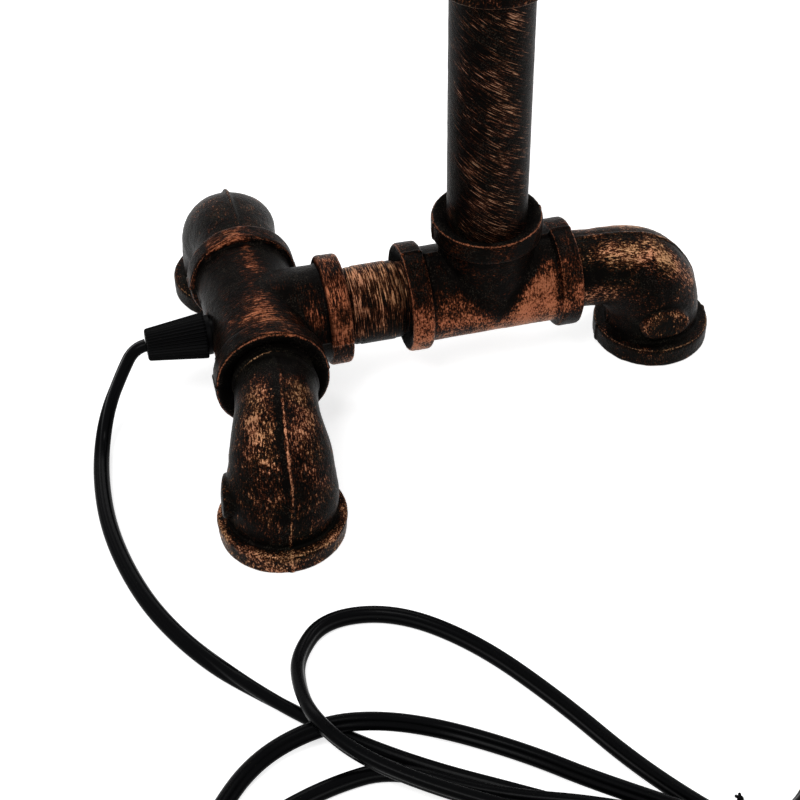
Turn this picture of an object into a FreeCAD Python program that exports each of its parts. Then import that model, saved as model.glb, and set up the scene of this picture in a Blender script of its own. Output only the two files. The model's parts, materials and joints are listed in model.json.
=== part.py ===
import FreeCAD, Part
import math
import os
from FreeCAD import Rotation, Vector

# Industrial pipe table lamp, millimetres. +Z is up and the lamp stands on z = 0.
# The origin is the middle of the lamp's footprint. The spine of the base runs along X,
# with the third foot at its +X end and the two-footed leg tee, which the cord enters,
# at its -X end. The arm with the lamp holder reaches back over the leg tee.

# Pipe and threads (DN20, 3/4 inch)
pipe_od = 26.7
pipe_wall = 2.6
thread_depth = 12.0
thread_gap = 0.05
swivel_gap = 0.2

# Beaded castings
casting_od = 32.4
casting_wall = 3.6
bead_od = 37.2
bead_width = 7.4
bead_round = 1.1
mouth_flare = 2.6
fitting_reach = 30.0
elbow_bend = 19.0
ridge_height = 0.5
ridge_width = 1.0

# Street elbows, which are the feet
foot_bead_od = 40.6
foot_bend = 22.0
foot_neck_od = 26.5
foot_growth_end = 50.0
foot_thread_depth = 15.0
relief_width = 1.6
relief_depth = 0.7
pad_width = 16.0
pad_tall = 11.0
pad_height = 1.2
pad_level = 15.0

# Layout of the frame
spine_height = 33.7
spine_gap = 20.4
post_gap = 87.3
arm_gap = 20.4
third_foot_reach = 32.3
back_foot_reach = 33.8
front_foot_reach = 35.0
front_foot_turn = 9.0

# Cord grip
grip_length = 21.5
grip_big_od = 15.6
grip_small_od = 11.0
grip_ribs = 36
grip_rib_depth = 0.4
grip_collar_od = 13.4
grip_collar = 1.5
grip_shank_od = 10.0
grip_offset = -2.5
grip_nut_flats = 13.0
grip_nut_height = 3.0

# Lead and inner flex
cord_d = 5.4
cord_gap = 0.05
flex_d = 5.0
flex_bend = 12.0
core_d = 2.4
core_spacing = 2.8

# Lamp cup, holder and switch
cup_od = 50.0
cup_bead_od = 55.0
cup_wall = 3.6
cup_neck = 3.0
cup_flare = 13.0
cup_web = 5.0
switch_height = 17.0
holder_height = 28.0
holder_gap = 0.2
holder_floor = 4.0
holder_below_rim = 1.0
stud_od = 10.0
stud_bore = 7.2
stud_grip = 6.0
stud_nut_flats = 14.0
stud_nut_height = 3.6
shell_od = 27.5
shell_sheet = 0.45
shell_height = 22.0
contact_sheet = 0.5
contact_rise = 1.5
contact_width = 6.0
terminal_screw_od = 3.5
terminal_screw_length = 6.0
terminal_screw_place = 0.49

# Switch knob
knob_shaft_d = 6.0
knob_shaft_gap = 0.06
knob_shaft_reach = 8.0
knob_level = 9.0
knob_od = 16.0
knob_length = 13.0
knob_flutes = 12
knob_flute_d = 1.8
knob_clearance = 0.4
bush_flats = 12.0
bush_height = 2.4
pointer_width = 1.2

# Bulb, 64 mm across with an E27 cap
bulb_tip_od = 9.6
bulb_tip_height = 1.5
bulb_taper = 4.0
bulb_thread_od = 26.0
bulb_thread_height = 16.0
bulb_collar_height = 4.0
bulb_od = 64.0
bulb_neck_od = 25.0
bulb_height = 112.0
bulb_glass = 0.9
stem_flare_height = 9.0
stem_od = 4.0
filament_legs = 8
filament_low = 34.0
filament_high = 78.0
filament_low_radius = 7.0
filament_high_radius = 10.0
filament_wire = 0.7
hook_wire = 0.5

# Hank of spare lead and plug
hank_height = 11.0
floor_gap = 0.05
waist_low = 1.4
waist_high = 13.6
waist_width = 14.0
waist_middle = -220.0
waist_left = -6.0
waist_right = 32.0
tie_middle = 13.0
tie_width = 4.0
tie_sheet = 1.2
plug_length = 36.0
plug_width = 35.0
plug_thickness = 13.6
plug_nose = 15.0
plug_tail_od = 9.0
plug_tail_length = 16.0
plug_pin_d = 4.0
plug_pin_length = 19.0
plug_pin_spacing = 18.6
plug_sleeve_d = 3.8

# Corners of the hank's two fans in plan, from the post's axis
hank_left = [
    (6, -229),
    (8, -206),
    (-12, -164),
    (-32, -131),
    (-54, -104),
    (-83, -99),
    (-101, -116),
    (-102, -141),
    (-128, -152),
    (-144, -178),
    (-136, -208),
    (-108, -224),
    (-50, -225),
]
hank_right = [
    (18, -211),
    (34, -203),
    (50, -183),
    (70, -174),
    (88, -183),
    (98, -199),
    (117, -212),
    (114, -238),
    (92, -249),
    (73, -259),
    (50, -250),
    (32, -237),
    (18, -229),
]

# Worked out from the sizes above
pipe_r = pipe_od / 2
pipe_bore_r = pipe_r - pipe_wall
casting_r = casting_od / 2
casting_bore_r = casting_r - casting_wall
bead_r = bead_od / 2
thread_r = pipe_r + thread_gap
flare_r = thread_r + mouth_flare * 1.3
foot_bead_r = foot_bead_od / 2
foot_neck_r = foot_neck_od / 2
foot_flare_r = thread_r + mouth_flare * 1.4

spine_length = 2 * fitting_reach + spine_gap
arm_length = 2 * fitting_reach + arm_gap
grip_end = spine_length + casting_r + grip_length
third_foot_end = fitting_reach + third_foot_reach + foot_bead_r
post_x = (grip_end - third_foot_end) / 2
leg_x = post_x - spine_length
post_foot = spine_height + fitting_reach
arm_height = post_foot + post_gap + fitting_reach
head_x = post_x - arm_length
cup_foot = arm_height + fitting_reach
cup_floor = cup_foot + cup_neck + cup_flare * 0.35 + cup_web
holder_foot = cup_floor + switch_height
holder_top = holder_foot + holder_height
cup_top = holder_top + holder_below_rim
cup_bore_r = cup_od / 2 - cup_wall
holder_r = cup_bore_r - holder_gap
shell_r = shell_od / 2
terminal_screw_radius = shell_r + terminal_screw_place * (holder_r - shell_r)
shell_foot = holder_foot + holder_floor
bulb_foot = shell_foot + contact_rise
thread_foot = bulb_foot + bulb_tip_height + bulb_taper
glass_foot = thread_foot + bulb_thread_height
bulb_collar_top = glass_foot + bulb_collar_height
bulb_seat_r = bulb_neck_od / 2 + thread_gap
knob_height = cup_floor + knob_level

plug_level = plug_thickness / 2 + floor_gap

X = Vector(1, 0, 0)
Y = Vector(0, 1, 0)
Z = Vector(0, 0, 1)
ORIGIN = Vector(0, 0, 0)


def cylinder(radius, start, end):
    return Part.makeCylinder(radius, (end - start).Length, start, end - start)


def cone(radius_start, radius_end, start, end):
    return Part.makeCone(radius_start, radius_end, (end - start).Length, start, end - start)


def turned(profile, centre=ORIGIN):
    """A solid of revolution about Z from (radius, height) corners."""
    corners = [Vector(r, 0, z) for r, z in profile]
    solid = Part.Face(Part.makePolygon(corners + corners[:1])).revolve(ORIGIN, Z, 360)
    solid.translate(centre)
    return solid


def hexagon(flats, height, start, axis):
    """A hexagonal prism across its flats, standing on start along axis."""
    corner = flats / math.sqrt(3)
    angles = [k * math.pi / 3 for k in range(7)]
    ring = [Vector(corner * math.cos(angle), corner * math.sin(angle), 0) for angle in angles]
    prism = Part.Face(Part.makePolygon(ring)).extrude(Z * height)
    prism.Placement = FreeCAD.Placement(start, Rotation(Z, axis))
    return prism


def rounded_rim(solid, radius, round_radius):
    """Rounds the circular edges of one radius."""
    rims = [
        edge
        for edge in solid.Edges
        if isinstance(edge.Curve, Part.Circle) and abs(edge.Curve.Radius - radius) < 1e-6
    ]
    return solid.makeFillet(round_radius, rims)


def bead(radius, face, outward, width=bead_width):
    """The thick rim of a casting, whose outer face is at face."""
    return rounded_rim(cylinder(radius, face - outward * width, face), radius, bead_round)


def mouth(face, outward, depth=thread_depth, widest=flare_r):
    """What is cut out of a casting for one thread: the dished rim and the bore."""
    bore = cylinder(thread_r, face - outward * depth, face)
    dish = cone(widest, thread_r, face, face - outward * mouth_flare)
    return bore.fuse(dish)


def joined(shapes):
    return shapes[0].fuse(shapes[1:]).removeSplitter()


def tube_between(outer, inner, start, end):
    return cylinder(outer, start, end).cut(cylinder(inner, start, end))


def route_edges(points, share=0.45, radii=None, closed=False):
    """Straight runs joined by tangent arcs through the corners of a route.

    Each arc is as large as its two runs allow, unless radii gives it. Returns the edges
    and the radius used at each corner."""
    count = len(points)
    corners = range(count) if closed else range(1, count - 1)
    entries = {}
    exits = {}
    middles = {}
    used = []
    for k in corners:
        back = points[k - 1] - points[k]
        ahead = points[(k + 1) % count] - points[k]
        half_turn = (math.pi - back.getAngle(ahead)) / 2
        reach = share * min(back.Length, ahead.Length)
        radius = radii[k] if radii and k in radii else reach / math.tan(half_turn)
        reach = radius * math.tan(half_turn)
        back.normalize()
        ahead.normalize()
        entries[k] = points[k] + back * reach
        exits[k] = points[k] + ahead * reach
        inward = (back + ahead).normalize()
        middles[k] = points[k] + inward * (radius / math.cos(half_turn) - radius)
        used.append(radius)
    edges = []
    runs = range(count) if closed else range(count - 1)
    for k in runs:
        following = (k + 1) % count
        run_start = exits.get(k, points[k])
        run_end = entries.get(following, points[following])
        edges.append(Part.LineSegment(run_start, run_end).toShape())
        if following in middles:
            edges.append(Part.Arc(entries[following], middles[following], exits[following]).toShape())
    return edges, used


def tube_along(points, diameter, radii=None):
    """A round solid that follows a route, with the arcs' radii."""
    edges, used = route_edges(points, radii=radii)
    path = Part.Wire(edges)
    section = Part.Wire(Part.Circle(points[0], points[1] - points[0], diameter / 2).toShape())
    return path.makePipeShell([section], True, False), used, path.Length


# Beaded castings


def bend_centre(turn, bend, start):
    """A point of a bend's centreline that starts at start along +X and turns down, and its direction."""
    angle = math.radians(turn)
    point = start + Vector(bend * math.sin(angle), 0, bend * (math.cos(angle) - 1))
    return point, Vector(math.cos(angle), 0, -math.sin(angle))


def grown_bend(bend, start, small_r, large_r, growth_end):
    """A quarter bend whose section swells from small_r to large_r over its first part."""
    steps = 5
    rings = []
    for k in range(steps + 1):
        share = k / steps
        radius = small_r + (large_r - small_r) * share * share * (3 - 2 * share)
        point, direction = bend_centre(growth_end * share, bend, start)
        rings.append(Part.Wire(Part.Circle(point, direction, radius).toShape()))
    swelling = Part.makeLoft(rings, True, False)
    last_point, last_direction = bend_centre(growth_end, bend, start)
    middle_point, _ = bend_centre((growth_end + 90) / 2, bend, start)
    end_point, _ = bend_centre(90, bend, start)
    path = Part.Wire(Part.Arc(last_point, middle_point, end_point).toShape())
    section = Part.Wire(Part.Circle(last_point, last_direction, large_r).toShape())
    return swelling.fuse(path.makePipeShell([section], True, False))


def foot_skin(reach, extra):
    """The outside of a street elbow's body, grown by extra. Its foot axis is Z and its neck points to -X."""
    start = Vector(-foot_bend, 0, spine_height)
    neck = cylinder(foot_neck_r + extra, Vector(-reach, 0, spine_height), start)
    bend = grown_bend(foot_bend, start, foot_neck_r + extra, casting_r + extra, foot_growth_end)
    leg = cylinder(casting_r + extra, ORIGIN, Vector(0, 0, spine_height - foot_bend))
    rim = bead(foot_bead_r + extra, ORIGIN, Z * -1)
    return joined([neck, bend, leg, rim])


def street_elbow(reach, turn=0.0):
    """A foot: male neck towards -X, wide beaded mouth flat on the table, plain raised pad on its -Y side.

    The thread stays in line with its tee when the rest of the foot is turned in plan."""
    face = Vector(-reach, 0, spine_height)
    tee_axis = Vector(math.cos(math.radians(turn)), -math.sin(math.radians(turn)), 0)
    thread_end = face - tee_axis * thread_depth
    thread_root = face + tee_axis * mouth_flare
    slab = Part.makeBox(
        2 * reach + foot_bead_r, ridge_width, 2 * spine_height, Vector(-reach, -ridge_width / 2, 0)
    )
    ridge = foot_skin(reach - mouth_flare, ridge_height).common(slab)
    stub = cylinder(foot_neck_r, thread_end, thread_root)
    relief_end = face - tee_axis * 0.3
    relief_start = relief_end - tee_axis * relief_width
    relief = tube_between(foot_neck_r + 1, foot_neck_r - relief_depth, relief_start, relief_end)
    pad = Part.Ellipse(Vector(0, 0, 0), pad_width / 2, pad_tall / 2).toShape()
    pad = Part.Face(Part.Wire(pad)).extrude(Z * (casting_r + pad_height))
    pad.Placement = FreeCAD.Placement(Vector(0, 0, pad_level), Rotation(X, 90))
    body = joined([foot_skin(reach, 0), ridge, stub, pad]).cut(relief)
    bend_start = Vector(-foot_bend, 0, spine_height)
    neck_bore_r = foot_neck_r - casting_wall
    passage = joined(
        [
            cylinder(neck_bore_r, thread_end, thread_root),
            cylinder(neck_bore_r, face, bend_start),
            grown_bend(foot_bend, bend_start, neck_bore_r, casting_bore_r, foot_growth_end),
            cylinder(casting_bore_r, ORIGIN, Vector(0, 0, spine_height - foot_bend)),
        ]
    )
    opening = mouth(ORIGIN, Z * -1, foot_thread_depth, foot_flare_r)
    return body.cut(passage).cut(opening)


def foot_at(tee_face, outward_angle, reach, turn=0.0):
    """A street elbow screwed into the tee face, its foot at outward_angle in plan."""
    foot = street_elbow(reach, turn)
    foot.translate(Vector(reach, 0, 0))
    foot.rotate(ORIGIN, Z, outward_angle + turn)
    foot.translate(tee_face)
    return foot


def tee():
    """A pipe tee with its run along X and its branch up, its axes crossing at the origin."""
    faces = [(X * -1, -X * fitting_reach), (X, X * fitting_reach), (Z, Z * fitting_reach)]
    run = cylinder(casting_r, faces[0][1], faces[1][1])
    branch = cylinder(casting_r - 0.3, ORIGIN, faces[2][1])
    body = joined([run, branch])
    slab = Part.makeBox(
        2 * fitting_reach,
        ridge_width,
        casting_r + fitting_reach,
        Vector(-fitting_reach, -ridge_width / 2, -casting_r),
    )
    grown_run = cylinder(casting_r + ridge_height, faces[0][1], faces[1][1])
    grown_branch = cylinder(casting_r + ridge_height - 0.3, ORIGIN, faces[2][1])
    ridge = grown_run.fuse(grown_branch).common(slab)
    rims = [bead(bead_r, face, outward) for outward, face in faces]
    body = joined([body, ridge] + rims)
    passage = cylinder(casting_bore_r, faces[0][1], faces[1][1]).fuse(
        cylinder(casting_bore_r, ORIGIN, faces[2][1])
    )
    mouths = joined([mouth(face, outward) for outward, face in faces])
    return body.cut(passage).cut(mouths)


def quarter_bend(radius, grow=0.0):
    """Both straight ends and the bend of an equal elbow whose mouths face -X and -Z."""
    ends = [Vector(-fitting_reach, 0, 0), Vector(0, 0, -fitting_reach)]
    start = Vector(-elbow_bend, 0, 0)
    middle, _ = bend_centre(45, elbow_bend, start)
    end, _ = bend_centre(90, elbow_bend, start)
    path = Part.Wire(
        [
            Part.LineSegment(ends[0], start).toShape(),
            Part.Arc(start, middle, end).toShape(),
            Part.LineSegment(end, ends[1]).toShape(),
        ]
    )
    section = Part.Wire(Part.Circle(ends[0], X, radius + grow).toShape())
    return path.makePipeShell([section], True, False)


def equal_elbow(swivel_mouth):
    """An elbow with two beaded mouths, facing -X and -Z. The swivel mouth is bored a little deeper."""
    faces = [(X * -1, -X * fitting_reach), (Z * -1, -Z * fitting_reach)]
    corner = Vector(-fitting_reach, -ridge_width / 2, -fitting_reach)
    slab = Part.makeBox(2 * fitting_reach, ridge_width, 2 * fitting_reach, corner)
    ridge = quarter_bend(casting_r, ridge_height).common(slab)
    rims = [bead(bead_r, face, outward) for outward, face in faces]
    body = joined([quarter_bend(casting_r), ridge] + rims)
    body = body.cut(quarter_bend(casting_bore_r))
    for k, (outward, face) in enumerate(faces):
        body = body.cut(mouth(face, outward, thread_depth + (swivel_gap if k == swivel_mouth else 0)))
    return body


# Base


def leg_tee():
    """The tee that carries both side feet and the cord grip, run along Y and branch to +X."""
    shape = tee()
    shape.rotate(ORIGIN, X, -90)
    shape.rotate(ORIGIN, Z, -90)
    shape.translate(Vector(leg_x, 0, spine_height))
    centre = Vector(leg_x, grip_offset, spine_height)
    seat = centre - X * (casting_r - grip_seat_depth())
    shape = shape.cut(cylinder(grip_collar_od / 2 + thread_gap, seat, centre - X * (2 * casting_r)))
    return shape.cut(cylinder(grip_shank_od / 2 + thread_gap, centre, centre - X * (2 * casting_r)))


def grip_seat_depth():
    """How deep the spot face for the grip's collar goes into the round wall."""
    return casting_r - math.sqrt(casting_r**2 - (grip_collar_od / 2) ** 2)


def post_tee():
    shape = tee()
    shape.translate(Vector(post_x, 0, spine_height))
    return shape


def straight_pipe(start, end):
    return tube_between(pipe_r, pipe_bore_r, start, end)


def spine_nipple():
    start = Vector(leg_x + fitting_reach - thread_depth, 0, spine_height)
    return straight_pipe(start, start + X * (spine_gap + 2 * thread_depth))


def post():
    start = Vector(post_x, 0, post_foot - thread_depth)
    return straight_pipe(start, start + Z * (post_gap + 2 * thread_depth))


def feet():
    third = foot_at(Vector(post_x + fitting_reach, 0, 0), 0, third_foot_reach)
    back = foot_at(Vector(leg_x, fitting_reach, 0), 90, back_foot_reach)
    front = foot_at(Vector(leg_x, -fitting_reach, 0), -90, front_foot_reach, -front_foot_turn)
    return {"third_foot_elbow": third, "back_foot_elbow": back, "front_foot_elbow": front}


def grip_axis_point(distance):
    """A point of the grip's axis, at a distance from the leg tee's centre towards -X."""
    return Vector(leg_x - distance, grip_offset, spine_height)


def cord_grip():
    """A tapered grip with lengthwise ribs, a plain collar and a threaded shank."""

    def ribbed_ring(distance, radius):
        ring = []
        for k in range(2 * grip_ribs + 1):
            angle = k * math.pi / grip_ribs
            r = radius - (grip_rib_depth if k % 2 else 0)
            ring.append(grip_axis_point(distance) + Vector(0, r * math.cos(angle), r * math.sin(angle)))
        return Part.makePolygon(ring)

    seat = casting_r - grip_seat_depth()
    collar_end = casting_r + grip_collar
    outer_end = casting_r + grip_length
    cone_body = Part.makeLoft(
        [ribbed_ring(collar_end, grip_big_od / 2), ribbed_ring(outer_end, grip_small_od / 2)], True, True
    )
    collar = cylinder(grip_collar_od / 2, grip_axis_point(seat), grip_axis_point(collar_end))
    shank_end = grip_nut_face() - grip_nut_height - 1
    shank = cylinder(grip_shank_od / 2, grip_axis_point(seat), grip_axis_point(shank_end))
    bore = cylinder(cord_d / 2 + cord_gap, grip_axis_point(shank_end), grip_axis_point(outer_end))
    return joined([cone_body, collar, shank]).cut(bore)


def grip_nut_face():
    """How far from the leg tee's centre the grip's nut meets the round bore with its corners."""
    return math.sqrt(casting_bore_r**2 - grip_nut_flats**2 / 3) - thread_gap


def grip_nut():
    """The lock nut that bears on the inside of the tee's wall."""
    outer_face = grip_axis_point(grip_nut_face())
    inner_face = outer_face + X * grip_nut_height
    nut = hexagon(grip_nut_flats, grip_nut_height, outer_face, X)
    return nut.cut(cylinder(grip_shank_od / 2 + thread_gap, outer_face, inner_face))


def base_flex():
    """The lead from the grip to the foot of the swivel, inside the base."""
    points = [
        grip_axis_point(casting_r + grip_length),
        grip_axis_point(0),
        Vector(post_x - flex_bend - spine_gap, 0, spine_height),
        Vector(post_x, 0, spine_height),
        Vector(post_x, 0, arm_height - fitting_reach + thread_depth),
    ]
    solid, _, _ = tube_along(points, flex_d, radii={3: flex_bend})
    return solid


# Arm


def swing_elbow():
    """The elbow that turns on the post's top thread."""
    shape = equal_elbow(swivel_mouth=1)
    shape.translate(Vector(post_x, 0, arm_height))
    return shape


def arm_nipple():
    start = Vector(head_x + fitting_reach - thread_depth, 0, arm_height)
    return straight_pipe(start, start + X * (arm_gap + 2 * thread_depth))


def arm_flex():
    points = [
        Vector(post_x, 0, arm_height - fitting_reach + thread_depth + swivel_gap),
        Vector(post_x, 0, arm_height),
        Vector(head_x + fitting_reach - thread_depth, 0, arm_height),
    ]
    solid, _, _ = tube_along(points, flex_d, radii={1: flex_bend})
    return solid


# Head


def head_elbow():
    """The elbow that turns on the arm's outer thread, with its other mouth up."""
    shape = equal_elbow(swivel_mouth=0)
    shape.rotate(ORIGIN, Y, 180)
    shape.translate(Vector(head_x, 0, arm_height))
    return shape


def head_flex():
    points = [
        Vector(head_x + fitting_reach - thread_depth - swivel_gap, 0, arm_height),
        Vector(head_x, 0, arm_height),
        Vector(head_x, 0, cup_foot - 2 * stud_nut_height),
    ]
    solid, _, _ = tube_along(points, flex_d, radii={1: flex_bend})
    return solid


def head_leads():
    """The two cores that leave the flex, pass the stud and enter the switch."""
    low = cup_foot - 2 * stud_nut_height
    cores = []
    for side in (-1, 1):
        start = Vector(head_x, side * core_spacing / 2, low)
        cores.append(cylinder(core_d / 2, start, start + Z * (cup_floor + stud_grip - low)))
    return Part.makeCompound(cores)


def lamp_cup():
    """A bell casting: male spigot, flared base, straight wall and a beaded rim."""
    spigot_foot = cup_foot - thread_depth
    flare_top = cup_foot + cup_neck + cup_flare
    web_under = cup_floor - cup_web
    spigot_bore_r = foot_neck_r - casting_wall
    outer = turned(
        [
            (0, spigot_foot),
            (foot_neck_r, spigot_foot),
            (foot_neck_r, cup_foot + cup_neck),
            (foot_neck_r + 0.45 * (cup_od / 2 - foot_neck_r), cup_foot + cup_neck + 0.3 * cup_flare),
            (cup_od / 2 - 1.5, flare_top - 0.25 * cup_flare),
            (cup_od / 2, flare_top),
            (cup_od / 2, cup_top),
            (0, cup_top),
        ],
        Vector(head_x, 0, 0),
    )
    floor_face = Vector(head_x, 0, cup_floor)
    web_face = Vector(head_x, 0, web_under)
    rim_face = Vector(head_x, 0, cup_top)
    body = joined([outer, bead(cup_bead_od / 2, rim_face, Z)])
    body = body.cut(cylinder(cup_bore_r, floor_face, rim_face))
    body = body.cut(cylinder(spigot_bore_r, Vector(head_x, 0, spigot_foot), web_face))
    body = body.cut(cylinder(stud_od / 2 + thread_gap, web_face, floor_face))
    knob_axis = Vector(head_x, 0, knob_height)
    return body.cut(cylinder(knob_shaft_d / 2 + 2 + thread_gap, knob_axis, knob_axis - Y * cup_od))


def hollow_stud():
    start = Vector(head_x, 0, cup_floor - cup_web - stud_nut_height - 2)
    return tube_between(stud_od / 2, stud_bore / 2, start, Vector(head_x, 0, cup_floor + stud_grip))


def stud_nut():
    start = Vector(head_x, 0, cup_floor - cup_web - stud_nut_height)
    nut = hexagon(stud_nut_flats, stud_nut_height, start, Z)
    return nut.cut(cylinder(stud_od / 2 + thread_gap, start, start + Z * stud_nut_height))


def switch_housing():
    """The moulded block under the lamp holder, with a bush through the cup's wall."""
    foot = Vector(head_x, 0, cup_floor)
    block = cylinder(holder_r, foot, foot + Z * switch_height)
    axis = Vector(head_x, 0, knob_height)
    bush_end = axis - Y * (cup_od / 2 + bush_height)
    bush = cylinder(knob_shaft_d / 2 + 2, axis, bush_end)
    block = block.fuse(bush)
    block = block.cut(cylinder(knob_shaft_d / 2 + knob_shaft_gap, axis - Y * knob_shaft_reach, bush_end))
    return block.cut(cylinder(stud_od / 2 + thread_gap, foot, foot + Z * stud_grip))


def bush_nut():
    """The flat nut that holds the switch's bush to the outside of the cup."""
    seat = Vector(head_x, -cup_od / 2, knob_height)
    nut = hexagon(bush_flats, bush_height, seat, Y * -1)
    hole = cylinder(knob_shaft_d / 2 + 2 + thread_gap, seat, seat - Y * bush_height)
    return nut.cut(hole)


def switch_knob():
    """A fluted knob with a pointer line and its shaft."""
    axis = Vector(head_x, 0, knob_height)
    inner_end = axis - Y * (knob_shaft_reach + knob_clearance)
    skirt = axis - Y * (cup_od / 2 + bush_height + knob_clearance)
    crown = skirt - Y * knob_length
    grip = rounded_rim(cylinder(knob_od / 2, skirt, crown), knob_od / 2, 0.8)
    for k in range(knob_flutes):
        angle = 2 * math.pi * (k + 0.5) / knob_flutes
        offset = Vector(math.cos(angle), 0, math.sin(angle)) * (knob_od / 2 + 0.2)
        grip = grip.cut(cylinder(knob_flute_d / 2, skirt + offset - Y * 3, crown + offset - Y))
    pointer = Part.makeBox(pointer_width, 1, knob_od / 2)
    pointer.translate(crown + Vector(-pointer_width / 2, -0.4, 0))
    return joined([grip, cylinder(knob_shaft_d / 2, inner_end, crown)]).cut(pointer)


def holder_insulator():
    """The porcelain ring round the screw shell."""
    foot = Vector(head_x, 0, holder_foot)
    ring = rounded_rim(cylinder(holder_r, foot, foot + Z * holder_height), holder_r, 0.8)
    bore_foot = foot + Z * holder_floor
    ring = ring.cut(cylinder(shell_r + thread_gap, bore_foot, foot + Z * holder_height))
    for side in (-1, 1):
        hole = Vector(head_x + side * terminal_screw_radius, 0, holder_top - terminal_screw_length)
        ring = ring.cut(cylinder(terminal_screw_od / 2 + thread_gap, hole, hole + Z * terminal_screw_length))
    return ring


def holder_screws():
    """The two screws that hold the porcelain down on the switch."""
    screws = []
    for side in (-1, 1):
        foot = Vector(head_x + side * terminal_screw_radius, 0, holder_top - terminal_screw_length)
        screws.append(cylinder(terminal_screw_od / 2, foot, foot + Z * (terminal_screw_length - 0.5)))
    return Part.makeCompound(screws)


def screw_shell():
    """The sheet brass cup that the bulb screws into, with its floor open for the contact."""
    foot = Vector(head_x, 0, shell_foot)
    top = foot + Z * shell_height
    shell = cylinder(shell_r, foot, top)
    shell = shell.cut(cylinder(shell_r - shell_sheet, foot + Z * shell_sheet, top))
    return shell.cut(cylinder(contact_width, foot, top))


def centre_contact():
    """The sprung strip that the bulb's tip presses on."""
    foot = Vector(head_x, 0, shell_foot)
    strip = cylinder(contact_width / 2, foot, foot + Z * contact_sheet)
    return strip.fuse(cone(contact_width / 2 - 0.4, 1.6, foot + Z * contact_sheet, foot + Z * contact_rise))


# Bulb


def bulb_cap():
    """The sheet brass cap with its collar round the glass neck."""
    foot = Vector(head_x, 0, thread_foot)
    top = Vector(head_x, 0, bulb_collar_top)
    return tube_between(bulb_thread_od / 2, bulb_seat_r, foot, top)


def bulb_insulator():
    """The black glass taper between the cap and its tip."""
    foot = Vector(head_x, 0, bulb_foot + bulb_tip_height)
    return cone(bulb_tip_od / 2, bulb_thread_od / 2 - 0.4, foot, foot + Z * bulb_taper)


def bulb_tip():
    foot = Vector(head_x, 0, bulb_foot)
    return cone(bulb_tip_od / 2 - 1, bulb_tip_od / 2, foot, foot + Z * bulb_tip_height)


def glass_outline(inset):
    """The bulb's outline from its straight neck to its crown, moved inwards by inset."""
    wide = bulb_od / 2 - inset
    neck = bulb_neck_od / 2 - inset
    top = glass_foot + bulb_height - inset
    shoulder = bulb_collar_top + 1
    curve = Part.BSplineCurve()
    curve.interpolate(
        Points=[
            Vector(neck, 0, shoulder),
            Vector(neck + 1.9, 0, glass_foot + 0.16 * bulb_height),
            Vector(neck + 0.52 * (wide - neck), 0, glass_foot + 0.42 * bulb_height),
            Vector(wide, 0, glass_foot + 0.71 * bulb_height),
            Vector(0.83 * wide, 0, glass_foot + 0.89 * bulb_height),
            Vector(0, 0, top),
        ],
        InitialTangent=Z,
        FinalTangent=X * -1,
    )
    return [Part.makeLine(Vector(neck, 0, glass_foot), Vector(neck, 0, shoulder)), curve.toShape()]


def bulb_envelope():
    """The blown glass, an even wall round the filament."""
    outer = glass_outline(0)
    inner = glass_outline(bulb_glass)
    top = Vector(0, 0, glass_foot + bulb_height)
    foot = Vector(bulb_neck_od / 2, 0, glass_foot)
    crown = Part.makeLine(top, top - Z * bulb_glass)
    lip = Part.makeLine(foot - X * bulb_glass, foot)
    wall = Part.Face(Part.Wire(Part.__sortEdges__(outer + inner + [crown, lip])))
    solid = wall.revolve(ORIGIN, Z, 360)
    solid.translate(Vector(head_x, 0, 0))
    return solid


def bulb_stem():
    """The glass flare, sealed into the neck, and the rod that carries the filament."""
    foot = Vector(head_x, 0, glass_foot)
    flare = cone(bulb_neck_od / 2 - bulb_glass, stem_od / 2, foot, foot + Z * stem_flare_height)
    rod = cylinder(stem_od / 2, foot, foot + Z * filament_high)
    return joined([flare, rod])


def filament_corners():
    """The hooks of the filament, in turn low and high round the stem."""
    corners = []
    for k in range(2 * filament_legs):
        angle = math.pi * k / filament_legs
        radius = filament_high_radius if k % 2 else filament_low_radius
        level = glass_foot + (filament_high if k % 2 else filament_low)
        corners.append(Vector(head_x + radius * math.cos(angle), radius * math.sin(angle), level))
    return corners


def filament():
    """A cage of straight legs, run up and down between the hooks."""
    corners = filament_corners()
    legs = [cylinder(filament_wire / 2, *ends) for ends in zip(corners, corners[1:])]
    return joined(legs)


def filament_hooks():
    """The wires that hold the filament's corners off the glass rod."""
    wires = []
    for corner in filament_corners():
        outward = Vector(corner.x - head_x, corner.y, 0).normalize()
        root = Vector(head_x, 0, corner.z) + outward * (stem_od / 2)
        wires.append(cylinder(hook_wire / 2, root, corner - outward * (filament_wire / 2)))
    return Part.makeCompound(wires)


# Lead, hank and plug


def floor_points(rows):
    """Points given from the post's axis, moved to the frame of the lamp."""
    return [Vector(x + post_x, y, z) for x, y, z in rows]


def lead_route():
    """From the grip down to the table and round to the hank."""
    exit_point = grip_axis_point(casting_r + grip_length)
    level = cord_d / 2 + floor_gap
    return [exit_point] + floor_points(
        [
            (-124.5, grip_offset, spine_height),
            (-131.0, -5.0, 24.5),
            (-134.5, -7.5, 12.5),
            (-138.5, -15.5, 3.8),
            (-141.5, -32.0, level),
            (-141.8, -52.0, level),
            (-138.5, -73.0, level),
            (-131.5, -93.0, level),
            (-120.0, -113.0, level),
            (-104.5, -133.0, level),
            (-93.0, -144.5, level),
        ]
    )


def tail_route():
    """From the hank round to the plug."""
    level = cord_d / 2 + floor_gap
    return floor_points(
        [
            (34.0, -226.0, 8.0),
            (53.0, -234.0, 7.0),
            (61.0, -250.0, 5.0),
            (53.0, -264.0, level),
            (32.0, -271.0, level),
            (10.0, -270.0, plug_level),
            (-8.0, -270.0, plug_level),
        ]
    )


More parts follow.
